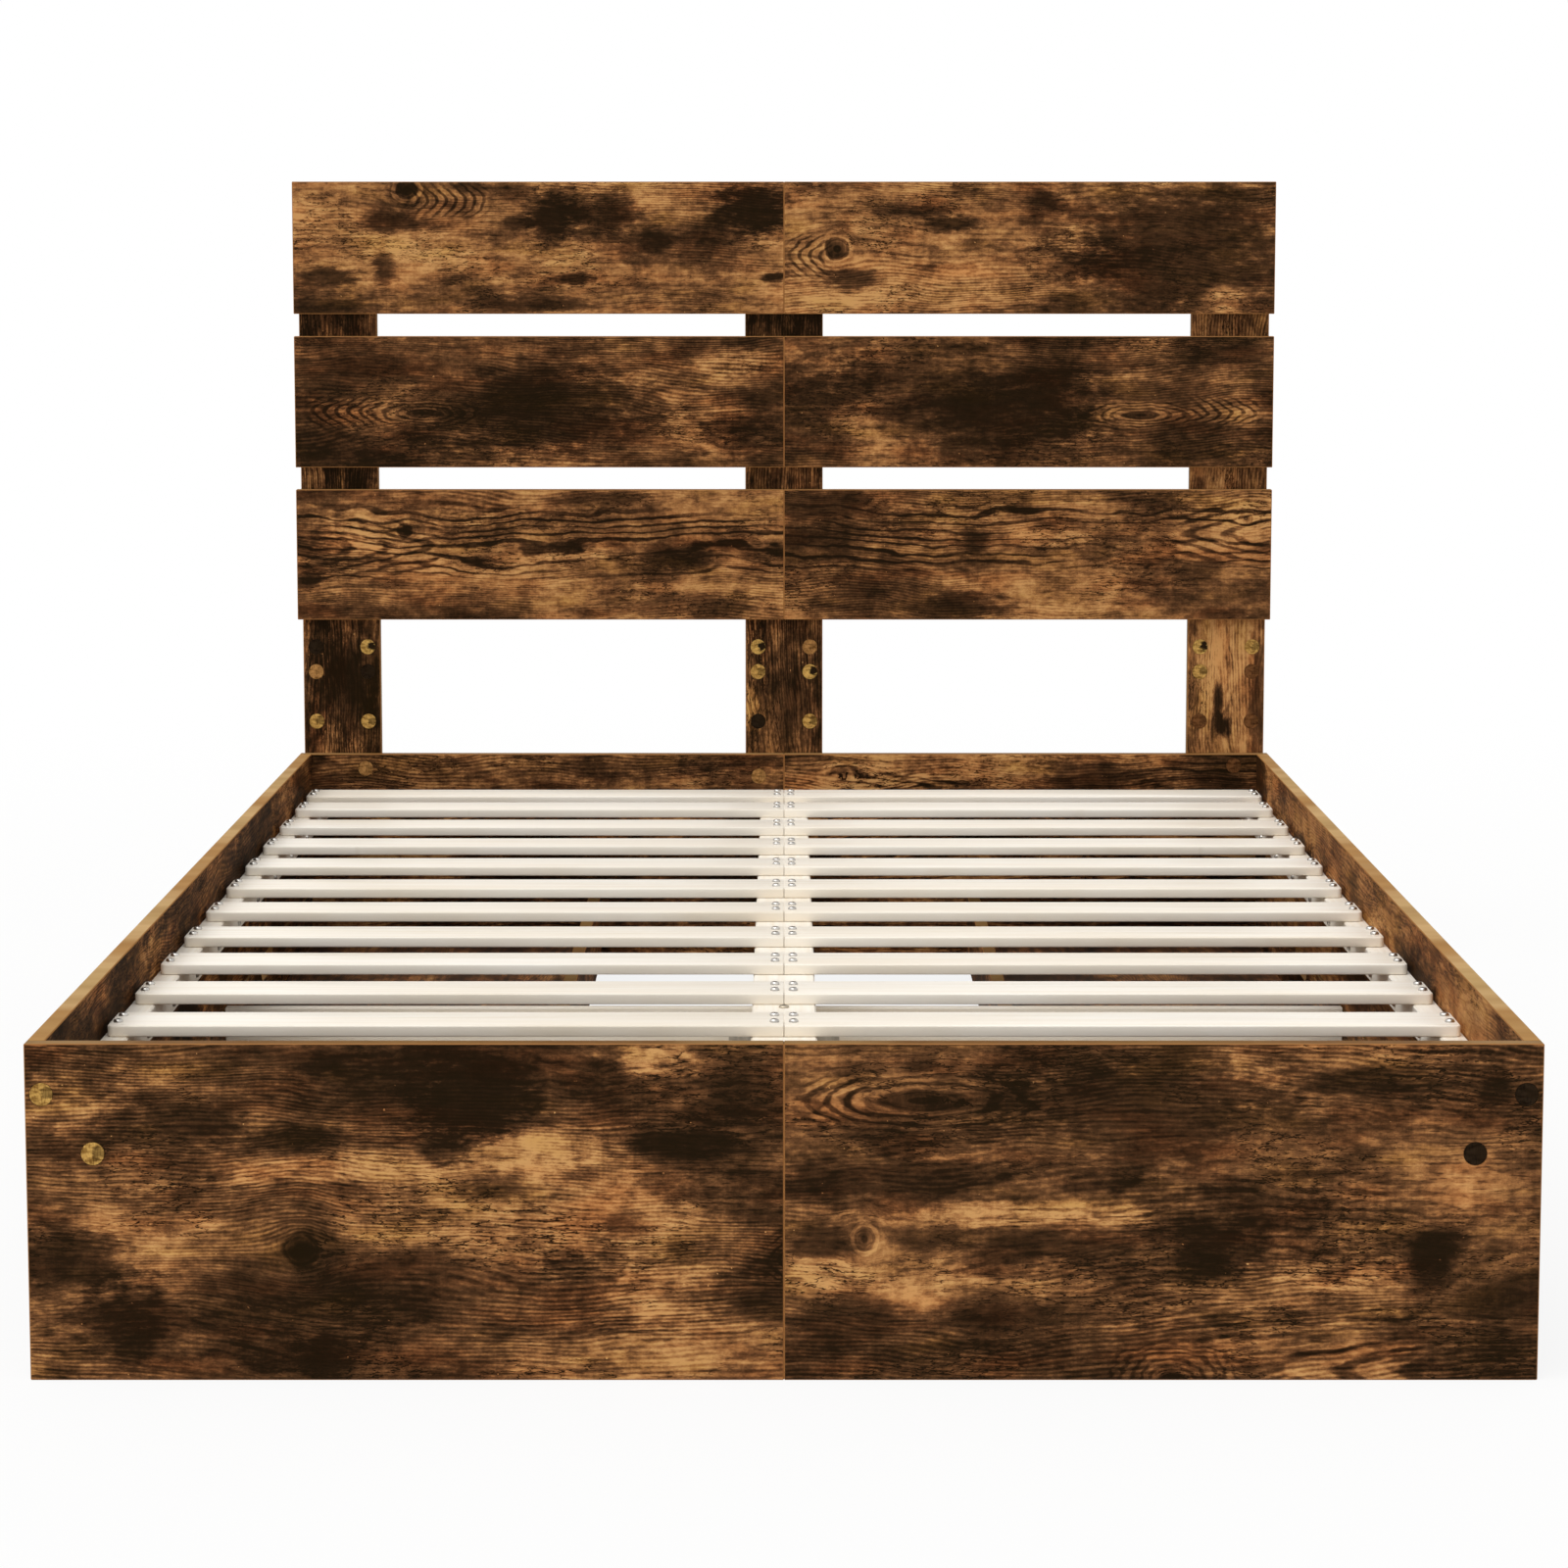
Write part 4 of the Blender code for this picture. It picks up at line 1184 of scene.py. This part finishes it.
CAPS = [
    cap_material("cap_golden", linear(212, 168, 92), linear(132, 94, 46), 0.55),
    cap_material("cap_crescent", linear(222, 180, 100), linear(156, 116, 58), 1.0),
    cap_material("cap_dark", linear(46, 34, 22), linear(26, 20, 13), 0.6),
    cap_material("cap_brown", linear(122, 80, 46), linear(76, 48, 28), 0.3),
    cap_material("cap_tan", linear(190, 140, 82), linear(112, 76, 42), 0.25),
]
GOLDEN, CRESCENT, DARK, BROWN, TAN = range(1, len(CAPS) + 1)

# %% [markdown]
# A cap sits flush in a shallow hole, with a fine dark gap round it. To sink a hole into a plain board,
# four cuts frame a small square on its face, the square's edges are split, and an inset loop is pulled
# onto a circle. More insets, each pushed in or out, then make the wall, the gap and the disc. A boolean
# cut could make the hole too, but with insets every hole gets the same even rim.

# %% Round holes in a board
CAP_RADIUS = 0.0095
CAP_GAP = 0.0004
CAP_SINK = 0.0008
CAP_REACH = CAP_RADIUS * 1.1
WALL_INSET = 0.00001
CAP_STEPS = ((WALL_INSET, -CAP_SINK), (CAP_GAP, 0), (WALL_INSET, CAP_SINK * 0.75),
             (CAP_GAP / 2, CAP_SINK * 0.2))
SQUARE_SHARE = 1.15
LOOP_INSET_SHARE = 0.05
CUT_DISTANCE = 0.000001
EDGE_SPLITS = 7
SAME_WAY = 0.9


def face_at(bm, point, normal):
    """Face that holds a point and faces one way."""
    return next(face for face in bm.faces if face.normal.dot(normal) > SAME_WAY
                and intersect_face_point(face, point))


def round_on_face(bm, centre, normal, radius):
    """Face with a round outline, cut into the flat face of a board round a point."""
    for step in (Vector(AXES["X"]), Vector(AXES["Z"])):
        for sign in (-1, 1):
            face = face_at(bm, centre, normal)
            bmesh.ops.bisect_plane(bm, geom=[*face.verts, *face.edges, face], dist=CUT_DISTANCE,
                                   plane_co=centre + step * sign * radius * SQUARE_SHARE, plane_no=step)
    square = face_at(bm, centre, normal)
    bmesh.ops.bisect_edges(bm, edges=square.edges[:], cuts=EDGE_SPLITS)
    bmesh.ops.inset_region(bm, faces=[square], thickness=radius * LOOP_INSET_SHARE, depth=0)
    for vert in square.verts:
        vert.co = centre + (vert.co - centre).normalized() * radius
    bm.normal_update()
    return square


def sink(bm, disc, steps):
    """Insets of a round face: (how far in from its rim, how far out of the board, material)."""
    for thickness, depth, finish in steps:
        walls = bmesh.ops.inset_region(bm, faces=[disc], thickness=thickness, depth=depth)["faces"]
        for face in [*walls, disc]:
            face.material_index = finish


def sink_cap(bm, centre, normal, finish, layer):
    """Flush cap in its hole, with a UV map across the disc."""
    disc = round_on_face(bm, centre, normal, CAP_RADIUS + CAP_GAP)
    sink(bm, disc, [(*step, material) for step, material in zip(CAP_STEPS, (0, 0, finish, finish))])
    for face in bm.faces:
        if face.material_index and (face.calc_center_median() - centre).length < CAP_REACH:
            for corner in face.loops:
                away = corner.vert.co - centre
                corner[layer].uv = (away.x / CAP_RADIUS, away.z / CAP_RADIUS)

# %% [markdown]
# From behind, screws hold the headboard rows and the head rail to the posts. The photograph doesn't
# show them, so their pattern is the usual one: two in each board at each post, sunk below the surface.
# The hole narrows to a countersink, and the same pull of points as before turns its end into a cross.

# %% Sunk screws
SUNK_RADIUS = 0.0045
ZINC_SLOT = len(CAPS) + 1
RECESS_SHADE_SLOT = len(CAPS) + 2
SUNK_STEPS = ((0.0003, -0.0006, 0), (SUNK_RADIUS * 0.12, 0.0001, ZINC_SLOT),
              (SUNK_RADIUS * 0.10, 0, ZINC_SLOT))
# The cross recess of a sunk screw takes the painted-shade material.
SUNK_RECESS = (0.0001, -0.0010, RECESS_SHADE_SLOT)


def sink_screw(bm, centre, normal):
    """Countersunk screw, a little below a board's face."""
    disc = round_on_face(bm, centre, normal, SUNK_RADIUS)
    sink(bm, disc, SUNK_STEPS)
    pull_into_cross(disc, disc.calc_center_median(), SUNK_RADIUS)
    sink(bm, disc, [SUNK_RECESS])

# %% [markdown]
# The boards of both bed ends are made again with a finely broken edge, and with their caps and screws.
# The CAD model leaves a hair's breadth between the left and right board of a row. Here both reach the
# middle of the bed, so that the joint shows as one fine groove.

# %% Boards with holes
BOARD_EDGE = 0.0008
JOINT_REACH = 0.0005


def board_with_holes(node, caps=(), screws=()):
    """Board in the CAD board's place, with flush caps at the front and sunk screws at the back."""
    low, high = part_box(node)
    if abs(high.x) < JOINT_REACH:
        high.x = 0
    if abs(low.x) < JOINT_REACH:
        low.x = 0
    bm = block(low, high)
    bevel(bm, bm.edges[:], BOARD_EDGE)
    layer = bm.loops.layers.uv.new("cap")
    for x, z, finish in caps:
        sink_cap(bm, Vector((x, low.y, z)), Vector((0, -1, 0)), finish, layer)
    for x, z in screws:
        sink_screw(bm, Vector((x, high.y, z)), Vector((0, 1, 0)))
    materials = [nodes[node].material_slots[0].material, *CAPS, ZINC, RECESS_SHADE]
    board = finish_piece(node + "_board", bm, materials, "frame")
    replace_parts(board, node)
    return board

# %% [markdown]
# Each post shows six caps below the headboard rows, in three pairs. The footboard has two at either
# side, and the head rail has three in all. Their places and finishes come from the photograph.

# %% Posts, footboard, headboard rows and head rail
POST_CAP_REACH = 0.033
POST_CAP_HEIGHTS = (0.4160, 0.3842, 0.3206)
POST_CAP_FINISHES = {
    "left": (DARK, CRESCENT, TAN, DARK, GOLDEN, GOLDEN),
    "centre": (CRESCENT, TAN, GOLDEN, CRESCENT, DARK, GOLDEN),
    "right": (CRESCENT, GOLDEN, GOLDEN, BROWN, BROWN, BROWN),
}
FOOT_CAPS = ((0.604, 0.238), (0.563, 0.189))
FOOT_CAP_FINISHES = {"left": GOLDEN, "right": DARK}
HEAD_RAIL_CAPS = {
    "left": [(-0.5334, 0.2616, TAN), (-0.0322, 0.2517, TAN)],
    "right": [(0.5735, 0.2653, BROWN)],
}
BACK_SCREW_REACH = 0.025
BACK_SCREW_HEIGHT_SHARE = 0.25
BOARDS_AT_POST = ("headboard_row_1_left", "headboard_row_2_left", "headboard_row_3_left", "head_rail_left")

for place, finishes in POST_CAP_FINISHES.items():
    low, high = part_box("post_" + place)
    middle = (low.x + high.x) / 2
    spots = [(middle + sign * POST_CAP_REACH, height) for height in POST_CAP_HEIGHTS for sign in (-1, 1)]
    screws = []
    for board in BOARDS_AT_POST:
        board_low, board_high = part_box(board)
        for sign in (-1, 1):
            height = (board_low.z + board_high.z) / 2
            height += sign * (board_high.z - board_low.z) * BACK_SCREW_HEIGHT_SHARE
            screws.append((middle + sign * BACK_SCREW_REACH, height))
    post = board_with_holes("post_" + place, [(*spot, cap) for spot, cap in zip(spots, finishes)], screws)
print("post faces:", len(post.data.polygons))

for side, finish in FOOT_CAP_FINISHES.items():
    board_with_holes("footboard_" + side, [(SIDES[side] * x, z, finish) for x, z in FOOT_CAPS])
for row_board in ROW_PRINTS:
    board_with_holes(row_board)
for side, caps in HEAD_RAIL_CAPS.items():
    board_with_holes("head_rail_" + side, caps)

# %% [markdown]
# A drawer bottom is two panels side by side, each a thin printed board. The seam between them shows
# through the slats, so the two halves are made here and stand for the CAD model's single panel.

# %% Drawer bottoms
BOTTOM_SEAM_X = 0.4255
SEAM_GAP = 0.0004
BOTTOM_EDGE = 0.0004
BOTTOM_SEED = 40.3
BOTTOM_PRINT = {"Tone": -0.02, "Contrast": 1.0, "Rings per Metre": 60.0, "Ring Strength": 0.5,
                "Knot Eye": 0.0, "Knot Rings": 0.0, "Stains": 0.0}


def bottom_material(title, seed):
    """Printed hardboard with its grain along the bed."""
    material, shader = new_material(title)
    parts = split(coordinates(shader))
    board = combine(X=parts["Y"], Y=parts["X"])
    printed = use_group(PRINT, {"Vector": board, "Seed": seed, **BOTTOM_PRINT})
    connect(shader, {"Base Color": printed["Color"], "Roughness": printed["Roughness"]})
    return material


def bottom_panel(low, high):
    """Thin board whose edges are finely broken, first along the bed and then at its ends."""
    bm = block(low, high)
    long_edges = [edge for edge in bm.edges if edge.verts[0].co.y != edge.verts[1].co.y]
    bevel(bm, long_edges, BOTTOM_EDGE)
    ends = [face for face in bm.faces if abs(face.normal.y) > SAME_WAY]
    bevel(bm, [edge for face in ends for edge in face.edges], BOTTOM_EDGE, 2)
    return bm


for number, (side, end) in enumerate(drawers):
    node = f"drawer_{side}_{end}_bottom"
    low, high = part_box(node)
    finish = bottom_material(node + "_film", BOTTOM_SEED + number)
    seam = SIDES[side] * BOTTOM_SEAM_X
    names = ("outer", "inner") if side == "left" else ("inner", "outer")
    reaches = ((low.x, seam - SEAM_GAP / 2), (seam + SEAM_GAP / 2, high.x))
    for name, (start, stop) in zip(names, reaches):
        bm = bottom_panel(Vector((start, low.y, low.z)), Vector((stop, high.y, high.z)))
        panel = finish_piece(f"{node}_{name}", bm, [finish], f"drawer_{side}_{end}")
        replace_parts(panel, node)
print("drawer bottom panels:", 2 * len(drawers), "with", len(panel.data.polygons), "faces each")

# %% [markdown]
# Each drawer rolls on two steel axles with a roller at either end. The rollers are black moulded
# plastic with a fine grain, and floor dust sticks to them.

# %% Roller plastic
PLASTIC_GRAIN = (900, 900, 61.0, 2.0)
PLASTIC_DUST = (0.5, 0.75, 150, 150, 62.0, 4.0)
DUST_SHARE = 0.35
DUST_COLOUR = linear(120, 112, 100)
PLASTIC_COLOUR = linear(48, 47, 46)
PLASTIC_ROUGHNESS = 0.50
PLASTIC_ROUGHNESS_SWING = 0.2
PLASTIC_BUMP = (0.2, 0.0002)

ROLLER_PLASTIC, shader = new_material("roller_plastic")
place = coordinates(shader)
grain = board_noise(place, *PLASTIC_GRAIN)
dust = places(place, *PLASTIC_DUST) * DUST_SHARE
connect(shader, {"Base Color": mix_colour(dust, PLASTIC_COLOUR, DUST_COLOUR),
                 "Roughness": PLASTIC_ROUGHNESS + centred(grain, PLASTIC_ROUGHNESS_SWING),
                 "Normal": bump(grain, *PLASTIC_BUMP)})
print("roller plastic has", len(ROLLER_PLASTIC.node_tree.nodes), "nodes")

# %% [markdown]
# A roller is a closed outline that is spun once round its axle: a tread with broken edges, a thin web
# and a hub. The axle is spun in the same way. Only one half of each outline is written down, because
# the other half mirrors it.

# %% Rollers and axles
ROLLER_WIDTH = 0.014
ROLLER_END_GAP = 0.016
AXLE_RADIUS = 0.004
AXLE_EDGE = 0.0005
BORE_GAP = 0.0001
HUB_RADIUS = 0.0072
WEB_DEPTH = 0.0025
TREAD_DROP = 0.001
TREAD_EDGE = 0.0015
SPIN_STEPS = 32


def turned(half_outline, centre):
    """Shape whose (radius, distance along Y) points are mirrored and spun about a line along Y."""
    bm = bmesh.new()
    outline = half_outline + [(radius, -distance) for radius, distance in reversed(half_outline)]
    points = [bm.verts.new((centre.x, centre.y + distance, centre.z - radius))
              for radius, distance in outline]
    edges = [bm.edges.new((a, b)) for a, b in zip(points, points[1:] + points[:1])
             if a.co != b.co]
    bmesh.ops.spin(bm, geom=points + edges, cent=centre, axis=(0, 1, 0), angle=math.tau,
                   steps=SPIN_STEPS, use_merge=True)
    bmesh.ops.remove_doubles(bm, verts=bm.verts, dist=SAME_PLACE)
    bmesh.ops.recalc_face_normals(bm, faces=bm.faces)
    return bm


for side, end in drawers:
    for line in ("outer", "inner"):
        node = f"drawer_{side}_{end}_rollers_{line}"
        body = f"rollers_{side}_{end}_{line}"
        low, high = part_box(node)
        centre = (low + high) / 2
        radius = (high.z - low.z) / 2
        half = (high.y - low.y) / 2
        axle = turned([(0, -half), (AXLE_RADIUS - AXLE_EDGE, -half), (AXLE_RADIUS, -half + AXLE_EDGE)],
                      centre)
        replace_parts(finish_piece(f"{node}_axle", axle, [ZINC], body), node)
        width = ROLLER_WIDTH / 2
        web = width - WEB_DEPTH
        rim = radius - WEB_DEPTH
        outline = [(AXLE_RADIUS + BORE_GAP, -width), (HUB_RADIUS, -width), (HUB_RADIUS, -web),
                   (rim, -web), (rim, -width), (radius - TREAD_DROP, -width),
                   (radius, -width + TREAD_EDGE)]
        for end_name, sign in (("foot", -1), ("head", 1)):
            spot = centre + Vector((0, sign * (half - ROLLER_END_GAP - width), 0))
            roller = finish_piece(f"{node}_{end_name}_roller", turned(outline, spot), [ROLLER_PLASTIC],
                                  body)
            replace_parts(roller, node)
print("roller faces:", len(roller.data.polygons))

# %% [markdown]
# A pale floor, a white room and two broad lamps. The key lamp stands at the upper left, as in the
# photograph, and the second fills in from the front. The floor shows white to the camera but keeps a
# little of the bed's shadow, which fades out further away.

# %% Room and light
FLOOR_COLOUR = linear(236, 235, 233)
FLOOR_ROUGHNESS = 0.9
FLOOR_FADE = (1.6, 4.5)
NEAR_WHITE_SHARE = 0.86
WHITE = (1, 1, 1, 1)
ROOM_LEVEL = 0.54
LAMPS = {
    "key_lamp": ((-0.55, -0.50, 1.6), 1.80, 50),
    "front_lamp": ((0.25, -1.0, 0.35), 0.30, 70),
}

bm = bmesh.new()
bmesh.ops.create_grid(bm, x_segments=1, y_segments=1, size=ROOM_SIZE / 2)
floor = new_object("floor", new_mesh("floor", bm))

floor_material, shader = new_material("floor_white")
connect(shader, {"Base Color": FLOOR_COLOUR, "Roughness": FLOOR_ROUGHNESS})
floor_nodes = floor_material.node_tree.nodes
glow = floor_nodes.new("ShaderNodeEmission")
connect(glow, {"Color": WHITE, "Strength": 1.0})
from_bed = vector_maths("LENGTH", coordinates(shader), output="Value")
white_share = NEAR_WHITE_SHARE + smooth_step(from_bed, *FLOOR_FADE) * (1.0 - NEAR_WHITE_SHARE)
seen = Wire(floor_nodes.new("ShaderNodeLightPath"), "Is Camera Ray") * white_share
blend = add("ShaderNodeMixShader", {0: seen, 1: Wire(shader), 2: Wire(glow)})
connect(floor_nodes["Material Output"], {"Surface": Wire(blend)})
floor.data.materials.append(floor_material)

world = bpy.data.worlds.new("white_room")
bpy.context.scene.world = world
world.use_nodes = True
path = world.node_tree.nodes.new("ShaderNodeLightPath")
mirrored = maths("MAXIMUM", Wire(path, "Is Glossy Ray"), Wire(path, "Is Transmission Ray"))
bright = maths("MAXIMUM", Wire(path, "Is Camera Ray"), mirrored)
connect(world.node_tree.nodes["Background"],
        {"Color": WHITE, "Strength": ROOM_LEVEL + bright * (1.0 - ROOM_LEVEL)})

for name, (towards, strength, angle_deg) in LAMPS.items():
    data = bpy.data.lights.new(name, "SUN")
    data.energy = strength
    data.angle = math.radians(angle_deg)
    lamp = new_object(name, data)
    lamp.rotation_mode = "QUATERNION"
    lamp.rotation_quaternion = Vector(towards).to_track_quat("Z", "Y")
print("lamps:", *LAMPS)
